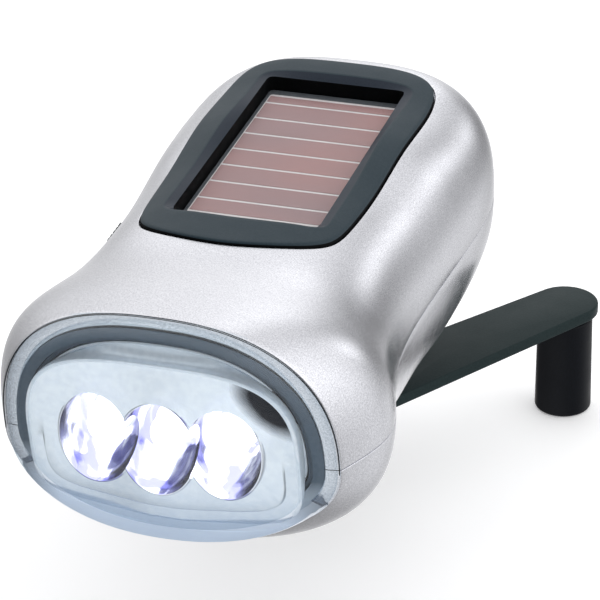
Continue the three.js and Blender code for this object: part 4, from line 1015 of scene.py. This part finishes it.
def solar_film():
    """Amorphous cell film: red-brown, with fine bars and a slow change of tone."""
    material = new_material("solar_film", (0.36, 0.21, 0.2), 0.35, specular=0.2)
    tree, shader = shader_of(material)
    slow = noise(tree, 40, 1)
    fine = noise(tree, 2600, 2)
    bars = noise(tree, 700, 2, (0.12, 1, 1))
    tone = mixed(tree, mapped(tree, slow, 0, 1, 0.35, 0.65), (0.42, 0.235, 0.225), (0.33, 0.225, 0.23))
    tone = mixed(tree, mapped(tree, bars, 0, 0.3, 0.35, 0.65), tone, (0.3, 0.2, 0.2))
    feed(shader,
         Base_Color=mixed(tree, mapped(tree, fine, 0, 0.08), tone, (0.46, 0.31, 0.3)),
         Normal=bump(tree, fine, 0.02, 0.00003))
    return material


# Metallic paint: fine flake in its colour and its normal
SILVER = grained("silver_paint", (0.575, 0.58, 0.615), (0.79, 0.795, 0.83), 0.24, 5200, 0.08, 0.02,
                 metallic=1.0)
CLEAR = clear_plastic("lens_clear", (0.96, 0.98, 0.99), (0.7, 0.77, 0.83), 0.03, 0.5,
                      (0.85, 0.88, 0.91))
WINDOW_GLASS = clear_plastic("window_glass", (0.97, 0.97, 0.97), (0.9, 0.91, 0.92), 0.004, 0.12)
MASK = lens_mask()
# Near-black painted shadow for the seam between lens and body
SEAM_PAINTED_SHADOW = grained("seam_painted_shadow", (0.02, 0.024, 0.028), (0.03, 0.034, 0.038), 0.6, 2600, 0.1,
                     specular=0.1)
SLATE = grained("bezel_slate", (0.013, 0.027, 0.036), (0.019, 0.034, 0.045), 0.48, 3800, 0.25, 0.02,
                specular=0.19)
# Darker copies of the slate, painted shade: one for the bevel, a near-black one for the window's walls
# and the foot of the rim
BEVEL_PAINTED_SHADE = grained("bezel_bevel_painted_shade", (0.007, 0.014, 0.026), (0.01, 0.018, 0.031), 0.4, 3800, 0.15, 0.02,
                specular=0.2)
WALL_PAINTED_SHADE = grained("bezel_wall_painted_shade", (0.001, 0.0015, 0.002), (0.002, 0.0025, 0.003), 0.7, 3800, 0.1,
                     specular=0.08)
CELL_GREY = grained("cell_grey", (0.08, 0.09, 0.1), (0.1, 0.11, 0.12), 0.5, 2000, 0.1, specular=0.3)
FRAME_DARK = grained("frame_dark", (0.046, 0.07, 0.1), (0.06, 0.086, 0.12), 0.5, 2600, 0.08)
HOOD = grained("reflector_hood", (0.74, 0.8, 0.87), (0.82, 0.87, 0.93), 0.36, 1200, 0.06, 0.04,
               metallic=0.45)
CRANK_DARK = grained("crank_dark", (0.01, 0.02, 0.021), (0.014, 0.025, 0.026), 0.42, 3400, 0.22, 0.03,
                     specular=0.09)
KNOB_BLACK = grained("knob_black", (0.002, 0.003, 0.005), (0.003, 0.004, 0.007), 0.36, 3400, 0.2,
                     specular=0.12)
MIRROR = mirror_plate()
CUPS = cup_mirror()
GLOW = lamp_glow()
FILM = solar_film()
BACKING = grained("cell_lines", (0.66, 0.63, 0.63), (0.74, 0.71, 0.7), 0.5, 1500, 0.1)
STEEL = grained("steel", (0.55, 0.56, 0.57), (0.62, 0.63, 0.64), 0.3, 2600, 0.15, 0.06, metallic=1.0)
BRASS = grained("brass", (0.52, 0.38, 0.14), (0.6, 0.45, 0.18), 0.3, 2600, 0.15, 0.06, metallic=1.0)
COPPER = grained("copper", (0.55, 0.24, 0.12), (0.68, 0.32, 0.16), 0.35, 5200, 0.4, 0.06, metallic=1.0)
RUBBER = grained("rubber", (0.012, 0.013, 0.014), (0.02, 0.021, 0.022), 0.7, 3000, 0.3)
GEAR = grained("gear_plastic", (0.72, 0.69, 0.6), (0.78, 0.75, 0.66), 0.45, 2400, 0.12)
BOARD_WHITE = grained("board_white", (0.7, 0.71, 0.74), (0.76, 0.77, 0.8), 0.5, 1800, 0.1)
BOARD = grained("board", (0.03, 0.14, 0.06), (0.04, 0.18, 0.08), 0.5, 1800, 0.2)
MAGNET = grained("magnet", (0.05, 0.05, 0.055), (0.08, 0.08, 0.085), 0.4, 2600, 0.25, metallic=0.7)
LEAD_RED = grained("lead_red", (0.45, 0.02, 0.015), (0.52, 0.03, 0.02), 0.45, 2600, 0.1)
LEAD_BLACK = grained("lead_black", (0.012, 0.012, 0.013), (0.02, 0.02, 0.021), 0.45, 2600, 0.1)


# Body shells

def at_screws(radius, low, high):
    """Upright rods at the four housing screws."""
    return [disc(radius, low, high, place) for place in HOUSING_SCREW_PLACES]


def upper_shell():
    """The back of the body, with the bezel's seat, the window's well and the switch's opening."""
    shell = half_shell(1)
    form = half_solid(1, SKIN_LEFT)
    bosses = join(*at_screws(SCREW_BOSS_RADIUS, PARTING_GAP / 2 - FIT, BOSS_TOP_Z))
    combine("INTERSECT", bosses, form)
    join(shell, bosses)
    cut(shell, recess_cutter(), prism(bezel_outline(-LEDGE_WIDTH), TRAY_TOP_Z - TRAY_FLOOR - FIT, FAR),
        edge_cutter(bezel_outline(RECESS_GAP), RECESS_EDGE))
    cut(shell,
        bar_along_x(-FAR, SWITCH_RECESS_X, SWITCH_RECESS_Y, SWITCH_RECESS_Z, SWITCH_RECESS_CORNER),
        bar_along_x(-FAR, -HUB_RADIUS, SWITCH_SLOT_Y, SWITCH_SLOT_Z, SWITCH_SLOT_CORNER),
        *at_screws(SCREW_RADIUS + FIT, -OVERRUN, PILOT_TOP_Z))
    keep_form_normals(shell, 1)
    return finish_piece(shell, "body_upper", "torch", [SILVER], "silver", "upper_shell")


def lower_shell():
    """The belly of the body, with pockets for the hub, the arm's root and the stowed knob."""
    shell = half_shell(-1)
    pocket = HUB_RADIUS + 2 * FIT
    floor_z = HUB_TOP_Z + FIT
    channel = ARM_ROOT_RADIUS + 2 * FIT
    channel_z = HUB_CEILING_Z + FIT
    knob_place = (0, STOWED_KNOB_Y)
    knob_z = STOWED_KNOB_TOP_Z + FIT
    walls = join(
        disc(pocket + POCKET_WALL, -FAR, floor_z + POCKET_FLOOR, CRANK_AXIS),
        disc(KNOB_POCKET_RADIUS + POCKET_WALL, -FAR, knob_z + POCKET_WALL, knob_place),
        block(either_side(channel + POCKET_WALL), (STOWED_KNOB_Y, CRANK_Y),
              (-FAR, channel_z + POCKET_WALL)),
        *at_screws(SCREW_BOSS_RADIUS, -FAR, -PARTING_GAP))
    combine("INTERSECT", walls, half_solid(-1, SKIN_LEFT))
    join(shell, walls)
    cut(shell,
        disc(pocket, -FAR, floor_z, CRANK_AXIS),
        disc(SHAFT_RADIUS + FIT + BUSH_WALL + FIT, -FAR, 0, CRANK_AXIS),
        disc(KNOB_POCKET_RADIUS, -FAR, knob_z, knob_place),
        block(either_side(channel), (STOWED_KNOB_Y - KNOB_POCKET_RADIUS, CRANK_Y), (-FAR, channel_z)),
        *at_screws(SCREW_HEAD_RADIUS + FIT, -FAR, SCREW_SEAT_Z),
        *at_screws(SCREW_RADIUS + FIT, -FAR, FAR))
    keep_form_normals(shell, -1)
    return finish_piece(shell, "body_lower", "torch", [SILVER], "silver", "lower_shell")


# Head

def lens_shares():
    """Shares of the rim and how far forward each ring of the dome lies, from 1 down to the middle."""
    turn = np.linspace(0, LENS_EDGE_ANGLE, LENS_EDGE_RINGS)
    near = [(math.cos(a) ** (2 / LENS_SHARPNESS), math.sin(a) ** (2 / LENS_ROUNDNESS)) for a in turn]
    near = [pair for pair in near if pair[0] > LENS_FACE_SHARES[0] + LENS_RING_GAP]
    face = [(share, (1 - share ** LENS_SHARPNESS) ** (1 / LENS_ROUNDNESS)) for share in LENS_FACE_SHARES]
    return near + face


def dome_ring(share, forward, inset, depth):
    """A ring of the lens's dome: a share of the mouth, moved forward by a share of a depth."""
    base = mouth(inset)
    x = base[:, 0] * share
    z = base[:, 2] * share
    sweep = (SEAM_SWEEP * share + LENS_SWEEP * share ** 2) * (x / SEAM_HALF_WIDTH) ** 2
    return np.stack([x, SEAM_LEAN * z + sweep - depth * forward - SEAM_GAP, z], -1)


def lens():
    """Clear cover with a real wall, a frosted foot, a flange at the seam painted near-black above a
    height as the seam's painted shadow, and a masked spigot.
    """
    spigot = WALL + FIT
    inner_depth = LENS_DEPTH - LENS_WALL
    flange_y = FLANGE_BACK - SEAM_GAP
    outer = [dome_ring(share, forward, 0, LENS_DEPTH) for share, forward in lens_shares()]
    inner = [dome_ring(share, forward, LENS_WALL, inner_depth) for share, forward in lens_shares()]
    edge = [mouth(inset, back - SEAM_GAP) for inset, back in FLANGE_EDGE]
    foot = [mouth(MASK_INSET, flange_y),
            mouth(spigot, flange_y),
            mouth_ring(SPIGOT_LENGTH, spigot),
            mouth_ring(SPIGOT_LENGTH, spigot + SPIGOT_WALL),
            mouth(spigot + SPIGOT_WALL, -SEAM_GAP),
            mouth(MASK_INSET, -SEAM_GAP)]
    made = rings_object("lens", outer[::-1] + edge + foot + inner,
                        ((0, -LENS_DEPTH - SEAM_GAP, 0), (0, -inner_depth - SEAM_GAP, 0)),
                        smooth_angle=LENS_SMOOTH_ANGLE)
    finish_piece(made, "lens_cover", "torch", [CLEAR, MASK, SEAM_PAINTED_SHADOW], "lens_clear", "lens")
    masked, seam_shadow = 1, 2
    rim = (len(outer) - 1) * LENS_POINTS
    flange = rim + len(edge) * LENS_POINTS
    for index in range(rim - FROSTED_RINGS * LENS_POINTS, flange + len(foot) * LENS_POINTS):
        polygon = made.data.polygons[index]
        height = polygon.center.z * 1000 - TO_ROW[2]
        # Flange faces above the seam line's low height are painted near-black: a painted shadow in the
        # seam
        if rim + LENS_POINTS <= index < flange and height > SEAM_SHADOW_LOW_Z:
            polygon.material_index = seam_shadow
        elif index >= flange + LENS_POINTS or height < CLEAR_RIM_LOW_Z:
            polygon.material_index = masked
    return made


def plate_y(x, z):
    """The plate's face: it stands furthest forward behind the middle lamp, less towards the top."""
    drop = 1 - np.exp(-BULGE_SHARPNESS * (np.asarray(x, float) / LAMP_PITCH) ** 2)
    level = np.clip((z - BULGE_FULL_Z) / (BULGE_END_Z - BULGE_FULL_Z), 0, 1)
    return PLATE_FRONT_Y + SEAM_LEAN * z + PLATE_BULGE * (drop + (1 - drop) * level)


def plate_ring(inset, back, step=0.0):
    """The reflector's outline, drawn in by an inset and set back behind its face. step is a
    further depth that fades out towards the top."""
    upper = np.sin(MOUTH_ANGLES) >= 0
    power = 2 / np.where(upper, *PLATE_SQUARENESS)
    x = (PLATE_HALF_WIDTH - inset) * rounded(np.cos(MOUTH_ANGLES), power)
    reach = np.where(upper, PLATE_RISE, PLATE_DROP) - inset
    z = PLATE_MIDDLE_Z + reach * rounded(np.sin(MOUTH_ANGLES), power)
    fade = np.clip((STEP_TOP_Z - z) / STEP_FADE, 0, 1)
    return np.stack([x, plate_y(x, z) + back + step * fade, z], -1)


def reflector_plate():
    """Pressed plate: a stepped face, a turned edge, a cove back to the frame and a lip."""
    face = [plate_ring(PLATE_DROP * share + STEP_INSET * (1 - share), 0) for share in PLATE_FACE_SHARES]
    edge = [plate_ring(*ring) for ring in PLATE_EDGE_RINGS]
    outer = mouth(RIM_INSET + LIP_WIDTH, HOOD_BACK_Y)
    cove = []
    for angle in np.linspace(0, math.pi / 2, COVE_STEPS + 1)[1:]:
        ring = blend((edge[-1], outer), 1 - math.cos(angle))
        ring[:, 1] = blend((edge[-1][:, 1], outer[:, 1]), math.sin(angle))
        cove.append(ring)
    lip = [mouth(RIM_INSET + LIP_WIDTH * share, HOOD_BACK_Y - forward) for share, forward in LIP_RINGS]
    back = [mouth(RIM_INSET + LIP_WIDTH + HOOD_WALL, HOOD_BACK_Y + HOOD_DEPTH)]
    back += [plate_ring(inset, UNDER_DEPTH) for inset in UNDER_INSETS]
    middle_y = float(plate_y(0, PLATE_MIDDLE_Z))
    return rings_object("plate", face + edge + cove + lip + back,
                        ((0, middle_y, PLATE_MIDDLE_Z), (0, middle_y + UNDER_DEPTH, PLATE_MIDDLE_Z)))


def cup_solid(profile, place):
    """A solid at a lamp, from its ovals' half-widths, half-heights and depths behind the face."""
    y = float(plate_y(*place))
    return ovals_along_y("tool", *place, [(wide, tall, y + depth) for wide, tall, depth in profile],
                         ROUND_POINTS)


def cup_cutter(place):
    """The hollow of a lamp cup: a deep upright bowl that narrows to the lamp's round throat."""
    tall = CUP_RADIUS * CUP_HEIGHT_SHARE
    profile = [(CUP_RADIUS, tall, -OVERRUN * 2), (CUP_RADIUS, tall, -CUP_MOUTH_DEPTH)]
    for i in range(CUP_STEPS + 1):
        share = i / CUP_STEPS
        narrowing = share ** CUP_CURVE
        profile.append((blend((CUP_RADIUS - CUP_STEP_WIDTH, THROAT_RADIUS), narrowing),
                        blend((tall - CUP_STEP_WIDTH, THROAT_RADIUS), narrowing),
                        blend((CUP_STEP_DEPTH, CUP_DEPTH), share)))
    return cup_solid(profile, place)


def cup_body(place):
    """The outside of a cup with its raised rim."""
    tall = CUP_RADIUS * CUP_HEIGHT_SHARE
    profile = [(CUP_RADIUS + RIM_WIDTH * out, tall + RIM_WIDTH * out, RIM_HEIGHT * back)
               for out, back in CUP_RIM]
    wall = CUP_RADIUS + RIM_WIDTH + CUP_WALL
    profile.append((wall, tall + RIM_WIDTH + CUP_WALL, CUP_DEPTH * CUP_SHOULDER_SHARE))
    profile.append((*[wall - narrower for narrower in CUP_FOOT_NARROWING], CUP_DEPTH))
    return cup_solid(profile, place)


def reflector():
    """The plate with three lamp cups, all one pressing."""
    plate = reflector_plate()
    places = [(side * LAMP_PITCH, LAMP_Z) for side in (-1, 0, 1)]
    join(plate, *[cup_body(place) for place in places])
    cut(plate, *[cup_cutter(place) for place in places])
    plate.data.validate()
    finish_piece(plate, "reflector_plate", "torch", [MIRROR, CUPS, HOOD], "mirror_plate", "reflector")
    paint_reflector(plate.data, places)
    return plate


def paint_reflector(mesh, places):
    """The cups and their rims get the brighter finish, the plate's turned edge and the cove round
    it the softer one."""
    cups, hood = 1, 2
    for polygon in mesh.polygons:
        x, y, z = np.array(polygon.center) * 1000 - TO_ROW
        upper = z > PLATE_MIDDLE_Z
        reach_x = abs(x) / (PLATE_HALF_WIDTH - PAINT_MARGIN)
        reach_z = abs(z - PLATE_MIDDLE_Z) / ((PLATE_RISE if upper else PLATE_DROP) - PAINT_MARGIN)
        power = PLATE_SQUARENESS[0 if upper else 1]
        if reach_x ** power + reach_z ** power > PLATE_EDGE_REACH:
            polygon.material_index = hood
        proud = y < float(plate_y(x, z)) - PAINT_MARGIN
        for px, pz in places:
            reach = math.hypot(x - px, (z - pz) / CUP_HEIGHT_SHARE)
            inside = reach < CUP_RADIUS + CUP_MARGIN and y > float(plate_y(px, pz)) - RIM_HEIGHT
            if inside or (proud and reach < CUP_RADIUS + RIM_WIDTH + PAINT_MARGIN):
                polygon.material_index = cups


def lamp(index):
    """Lit five-millimetre lamp: flange, body and dome."""
    low, high = [np.array(corner) * 1000 - TO_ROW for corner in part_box(f"led_{index}")]
    x, _, z = (low + high) / 2
    front, back = low[1], high[1]
    profile = [(radius, radius, back - forward) for radius, forward in LAMP_FOOT]
    for angle in np.linspace(0, LAMP_DOME_ANGLE, LAMP_DOME_RINGS):
        radius = LAMP_RADIUS * math.cos(angle)
        profile.append((radius, radius, front + LAMP_RADIUS - LAMP_RADIUS * math.sin(angle)))
    made = ovals_along_y("lamp", x, z, profile, SMALL_ROUND_POINTS, front)
    return finish_piece(made, f"lamp_{index}", "torch", [GLOW], "led_clear", f"led_{index}")


def lamp_frame():
    """Dark ring round the reflector that fits the mouth of the body."""
    inside_spigot = WALL + FIT + SPIGOT_WALL + FRAME_GAP
    opening = RIM_INSET - FRAME_LAP
    rings = [mouth(inside_spigot, FRAME_FRONT_Y),
             mouth(opening, FRAME_FRONT_Y),
             mouth_ring(FRAME_DEPTH, opening),
             mouth_ring(FRAME_DEPTH, WALL + FIT),
             mouth_ring(FRAME_STEP_DEPTH, WALL + FIT),
             mouth_ring(FRAME_STEP_DEPTH, inside_spigot)]
    made = rings_object("ring", rings)
    return finish_piece(made, "lamp_frame_ring", "torch", [FRAME_DARK], "frame_dark", "lamp_frame")


# Solar window

def solar_bezel():
    """The slate surround: a tray for the cells, walls, a bevel and a rounded outer rim; the walls, the
    lower rim with its side and the tray floor are painted near-black as shade, and the bevel a darker
    slate as shade.
    """
    inner = lip_outline(BEVEL_WIDTH + BEVEL_RIM)
    outer = bezel_outline(-BEZEL_EDGE)
    top = -BEZEL_PROUD
    under = BEZEL_THICKNESS - BEZEL_PROUD
    rings = [raised(window_outline(0), TRAY_TOP_Z),
             raised(window_outline(0), PANEL_TOP_Z + COVER_THICKNESS),
             raised(lip_outline(0), WALL_TOP_Z),
             on_skin(lip_outline(BEVEL_WIDTH), top, BEVEL_SINK),
             on_skin(inner, top)]
    rings += [on_skin(blend((inner, outer), i / BEZEL_ROWS), top) for i in range(1, BEZEL_ROWS)]
    rings += [on_skin(bezel_outline(-inward), top, down)
              for inward, down in rounding(BEZEL_EDGE, RIM_POINTS)]
    foot = len(rings)
    rings += [on_skin(bezel_outline(0), under),
              on_skin(lip_outline(TRAY_WALL + LIP_WALL), under),
              raised(window_outline(TRAY_WALL), TRAY_TOP_Z + TRAY_SHOULDER),
              raised(window_outline(TRAY_WALL), TRAY_TOP_Z - TRAY_FLOOR)]
    made = rings_object("bezel", rings, poles((0, BEZEL_MIDDLE_Y), TRAY_TOP_Z, TRAY_TOP_Z - TRAY_FLOOR))
    finish_piece(made, "window_bezel", "torch", [SLATE, BEVEL_PAINTED_SHADE, WALL_PAINTED_SHADE], "bezel_slate", "solar_bezel")
    # Window walls, lower rim rounding, side wall and tray floor get the near-black painted shade; the
    # bevel gets the darker painted shade
    bevel, black = 1, 2
    for strip, material in ((0, black), (1, black), (2, bevel), (foot - 2, black), (foot - 1, black),
                            (len(rings) - 1, black)):
        paint_faces(made.data, range(strip * BEZEL_POINTS, (strip + 1) * BEZEL_POINTS), material)
    return made


def solar_cells():
    """Grey backing, a pale sheet whose lines show, and strips of film; the first is shortened and
    the last narrow."""
    bottom = TRAY_TOP_Z + FIT
    sheet_top = PANEL_TOP_Z - COVER_THICKNESS - STRIP_THICKNESS - COVER_GAP
    backing_top = sheet_top - STRIP_THICKNESS
    outline = window_outline(-FIT)
    made = rings_object("cells", [raised(outline, bottom), raised(outline, backing_top)],
                        poles(PANEL_MIDDLE, bottom, backing_top))
    finish_piece(made, "cell_backing", "torch", [CELL_GREY], "cells")
    width = 2 * (CELL_HALF_WIDTH + STRIP_BORDER)
    length = STRIP_BACK_Y - STRIP_FRONT_Y + STRIP_GAP + STRIP_BORDER + SHEET_FORWARD
    middle = (STRIP_BACK_Y + STRIP_FRONT_Y + STRIP_GAP - SHEET_FORWARD) / 2
    sheet = prism([(x, middle + y) for x, y in rounded_box(width, length, SHEET_CORNER)],
                  backing_top - STRIP_THICKNESS, sheet_top)
    finish_piece(sheet, "cell_lines", "torch", [BACKING], "cells")
    edges = [STRIP_FRONT_Y + i * STRIP_PITCH for i in range(STRIP_COUNT + 1)]
    edges.append(STRIP_BACK_Y + STRIP_GAP / 2)
    edges[0] += FIRST_STRIP_SHORT
    strips = []
    for low, high in zip(edges, edges[1:]):
        shape = rounded_box(2 * CELL_HALF_WIDTH, high - low - STRIP_GAP, STRIP_CORNER)
        strips.append(prism([(x, (low + high) / 2 + y) for x, y in shape],
                            sheet_top - STRIP_THICKNESS, sheet_top + STRIP_THICKNESS))
    film = merged("cell_strips", strips)
    return finish_piece(film, "cell_strips", "torch", [FILM], "cells", "solar_cells")


def solar_glass():
    """The clear cover of the cells, with a small chamfer."""
    low = PANEL_TOP_Z - COVER_THICKNESS
    rings = [raised(window_outline(-FIT), low), raised(window_outline(-FIT), PANEL_TOP_Z - COVER_EDGE),
             raised(window_outline(-FIT - COVER_EDGE), PANEL_TOP_Z)]
    made = rings_object("glass", rings, poles(PANEL_MIDDLE, low, PANEL_TOP_Z))
    return finish_piece(made, "window_glass", "torch", [WINDOW_GLASS], "window_glass", "solar_glass")


# Crank

def placed(piece):
    """Turns a piece made along +X from the crank's axis to where the crank stands."""
    turn = Matrix.Rotation(CRANK_ANGLE, 4, "Z")
    origin = Vector(row((0, 0, 0))[0])
    axis = Vector(row((0, CRANK_Y, 0))[0])
    piece.data.transform(Matrix.Translation(axis) @ turn @ Matrix.Translation(-origin))
    return piece


def arm_outline(margin):
    """The arm in plan, from its hinged root to its round end."""
    lean = math.asin((ARM_ROOT_RADIUS - ARM_END_RADIUS) / ARM_REACH)
    start = HINGE_REACH - EYE_RADIUS - margin
    half = (ARM_ROOT_RADIUS + margin) / math.cos(lean) - start * math.tan(lean)
    turn = np.linspace(-(math.pi / 2 - lean), math.pi / 2 - lean, ARM_END_POINTS)
    end = np.stack([ARM_REACH + (ARM_END_RADIUS + margin) * np.cos(turn),
                    (ARM_END_RADIUS + margin) * np.sin(turn)], -1)
    steps = np.linspace(0, 1, ARM_SIDE_POINTS)[:, None]
    left = blend((end[-1], np.array([start, half])), steps)[1:]
    back = blend((np.array([start, half]), np.array([start, -half])), steps)[1:]
    right = blend((np.array([start, -half]), end[0]), steps)[1:-1]
    return np.concatenate([end, left, back, right])


def arm_plate():
    """The arm's flat part, with rounded rims."""
    rim = rounding(ARM_EDGE, SMALL_RIM_POINTS)
    rings = [raised(arm_outline(-inward), ARM_BOTTOM_Z + up) for inward, up in rim]
    rings += [raised(arm_outline(-inward), ARM_TOP_Z - down) for inward, down in rim[::-1]]
    return rings_object("plate", rings, poles(arm_outline(0).mean(axis=0), ARM_BOTTOM_Z, ARM_TOP_Z))


def along_hinge(radius, span):
    """A rod on the hinge's axis."""
    return ovals_along_y("tool", HINGE_REACH, HINGE_Z, [(radius, radius, y) for y in span],
                         SMALL_ROUND_POINTS)


def crank_arm():
    """The arm's plate, its hinge eye and stop, and the boss that carries the knob."""
    eye_span = either_side(ARM_ROOT_RADIUS - 2 * FIT)
    arm = arm_plate()
    join(arm, along_hinge(EYE_RADIUS, eye_span),
         block((HINGE_REACH - EYE_RADIUS, HINGE_REACH + EYE_RADIUS), eye_span,
               (ARM_BOTTOM_Z + ARM_EDGE, HINGE_Z)),
         block((HINGE_REACH, HINGE_REACH + EYE_RADIUS), eye_span, (HINGE_Z, HUB_CEILING_Z - FIT)),
         disc(BOSS_RADIUS, ARM_BOTTOM_Z - BOSS_HEIGHT, ARM_TOP_Z - FIT, (ARM_REACH, 0)))
    cut(arm, along_hinge(HINGE_PIN_RADIUS + FIT, either_side(FAR)),
        disc(SPINDLE_BORE_RADIUS, -FAR, ARM_TOP_Z - 2 * FIT, (ARM_REACH, 0)))
    return finish_piece(placed(arm), "crank_arm_plate", "arm", [CRANK_DARK], "crank_dark", "crank_arm")


def crank_knob():
    """Tapered grip with rounded rims, bored for its spindle and hollowed at the foot."""
    rim = rounding(KNOB_EDGE, RIM_POINTS)
    recess_z = KNOB_FOOT_Z + KNOB_RECESS_DEPTH
    profile = [(KNOB_RECESS_RADIUS, recess_z),
               (KNOB_RECESS_RADIUS, KNOB_FOOT_Z + KNOB_RECESS_EDGE),
               (KNOB_RECESS_RADIUS + KNOB_RECESS_EDGE, KNOB_FOOT_Z)]
    profile += [(KNOB_FOOT_RADIUS - inward, KNOB_FOOT_Z + up) for inward, up in rim]
    profile += [(blend((KNOB_FOOT_RADIUS, KNOB_TOP_RADIUS), share),
                 blend((KNOB_FOOT_Z + KNOB_EDGE, KNOB_TOP_Z - KNOB_EDGE), share))
                for share in KNOB_TAPER_SHARES]
    profile += [(KNOB_TOP_RADIUS - inward, KNOB_TOP_Z - down) for down, inward in rim]
    profile += [(SPINDLE_BORE_RADIUS, KNOB_TOP_Z), (SPINDLE_BORE_RADIUS, recess_z)]
    made = rings_object("knob", turned_rings(profile, (ARM_REACH, 0)))
    return finish_piece(placed(made), "crank_grip", "knob", [KNOB_BLACK], "black_plastic", "crank_knob")


def crank_hub():
    """The disc that turns with the shaft, grooved for the arm's root and bored for the hinge pin."""
    profile = [(HUB_RADIUS - inward, HUB_BOTTOM_Z + up)
               for inward, up in rounding(HUB_EDGE, SMALL_RIM_POINTS)]
    profile += [(HUB_RADIUS, HUB_TOP_Z - HUB_TOP_EDGE), (HUB_RADIUS - HUB_TOP_EDGE, HUB_TOP_Z)]
    hub = rings_object("hub", turned_rings(profile, (0, 0), HUB_POINTS),
                       poles((0, 0), HUB_BOTTOM_Z, HUB_TOP_Z))
    groove = ARM_ROOT_RADIUS + FIT
    join(hub, disc(SHAFT_RADIUS, HUB_TOP_Z - FIT, SHAFT_TOP_Z),
         block(either_side(TENON_HALF), either_side(TENON_HALF),
               (SHAFT_TOP_Z - FIT, SHAFT_TOP_Z + TENON_HEIGHT)))
    cut(hub, block(either_side(FAR), either_side(groove), (-FAR, HUB_CEILING_Z)),
        along_hinge(HINGE_PIN_RADIUS + FIT, either_side(FAR)),
        disc(SCREW_RADIUS + FIT, HUB_CEILING_Z + FIT, 0))
    return finish_piece(placed(hub), "crank_hub_disc", "crank", [CRANK_DARK], "crank_dark", "crank_hub")


# Carried-over parts: those not named here are steel

NODE_FINISHES = {
    "lens_gasket": RUBBER, "led_board": BOARD_WHITE, "circuit_board": BOARD, "chassis_plate": FRAME_DARK,
    "rectifier": RUBBER, "battery_cradle": FRAME_DARK, "battery_contact_left": BRASS,
    "battery_contact_right": BRASS, "switch_housing": KNOB_BLACK, "switch_slider": CRANK_DARK,
    "crank_bush": BRASS, "crank_gear": GEAR, "rear_compound_gear": GEAR, "front_compound_gear": GEAR,
    "rotor_pinion": GEAR, "rotor_magnet": MAGNET, "stator_coil": COPPER,
}


def finish_nodes():
    """Every CAD node that still shows gets its procedural finish."""
    for name, node in frame["nodes"].items():
        finish = NODE_FINISHES.get(name, STEEL)
        if "lead_red" in name or name == "switch_lead_1":
            finish = LEAD_RED
        elif "lead_black" in name or name == "switch_lead_2":
            finish = LEAD_BLACK
        for place in node.material_slots:
            place.material = finish


# Stage

CAMERA_PLACE = (0.12795, -0.42587, 0.28124)
CAMERA_RIGHT = (0.9585, 0.2849, -0.0104)
CAMERA_UP = (-0.1258, 0.4555, 0.8813)
CAMERA_BACK = (0.2558, -0.8434, 0.4724)
CAMERA_LENS = 204
CAMERA_SENSOR = 36
CAMERA_CLIP = (0.01, 20)
FLOOR_HALF = 3.0
FLOOR_GLOW = 0.22


def camera():
    data = bpy.data.cameras.new("camera")
    data.lens = CAMERA_LENS
    data.sensor_width = CAMERA_SENSOR
    data.clip_start, data.clip_end = CAMERA_CLIP
    made = linked("camera", data)
    axes = Matrix((CAMERA_RIGHT, CAMERA_UP, CAMERA_BACK)).transposed()
    made.matrix_world = Matrix.Translation(CAMERA_PLACE) @ axes.to_4x4()
    bpy.context.scene.camera = made


def floor():
    """A white floor, hidden from reflections."""
    points = [(x * FLOOR_HALF, y * FLOOR_HALF, 0) for x, y in ((-1, -1), (1, -1), (1, 1), (-1, 1))]
    mesh = bpy.data.meshes.new("floor")
    mesh.from_pydata(points, [], [[0, 1, 2, 3]])
    mesh.materials.append(grained("floor_paint", (0.93, 0.93, 0.93), (0.95, 0.95, 0.95), 0.7, 60, 0.0,
                                  0.05, Emission_Strength=FLOOR_GLOW))
    made = linked("floor", mesh)
    made.visible_glossy = False


# The soft lights round the object: direction, strength and how tightly each is gathered
SOFT_LIGHTS = [
    ((-0.575, 0.404, 0.712), 1.69, 2.4),
    ((0.867, 0.04, 0.497), 1.74, 2),
    ((-0.212, 0.856, -0.471), 1.1, 15),
    ((0.511, 0.575, -0.639), 0.8, 9),
    ((0.475, 0.85, 0.226), 1.2, 110),
    ((-0.144, 0.984, 0.103), 0.75, 40),
    ((0.004, 0.93, 0.366), 0.75, 85),
    ((0.393, 0.83, -0.397), 0.35, 100),
    ((-0.15, -0.73, -0.66), 1.05, 2),
]
SURROUND = 0.05


def studio():
    world = bpy.data.worlds.new("studio")
    world.use_nodes = True
    bpy.context.scene.world = world
    tree = world.node_tree
    outward = add_node(tree, "TexCoord").outputs["Generated"]
    total = SURROUND
    for direction, strength, tightness in SOFT_LIGHTS:
        facing = calculated(tree, "MAXIMUM", dot_product(tree, outward, direction), 0)
        lobe = calculated(tree, "POWER", facing, tightness)
        total = calculated(tree, "ADD", calculated(tree, "MULTIPLY", lobe, strength), total)
    feed(tree.nodes["Background"], Color=(0.99, 0.99, 1), Strength=total)
    bpy.context.scene.view_settings.view_transform = "Standard"


camera()
upper_shell()
lower_shell()
lens()
reflector()
for lamp_index in (1, 2, 3):
    lamp(lamp_index)
lamp_frame()
solar_bezel()
solar_cells()
solar_glass()
crank_arm()
crank_knob()
crank_hub()
finish_nodes()
floor()
studio()
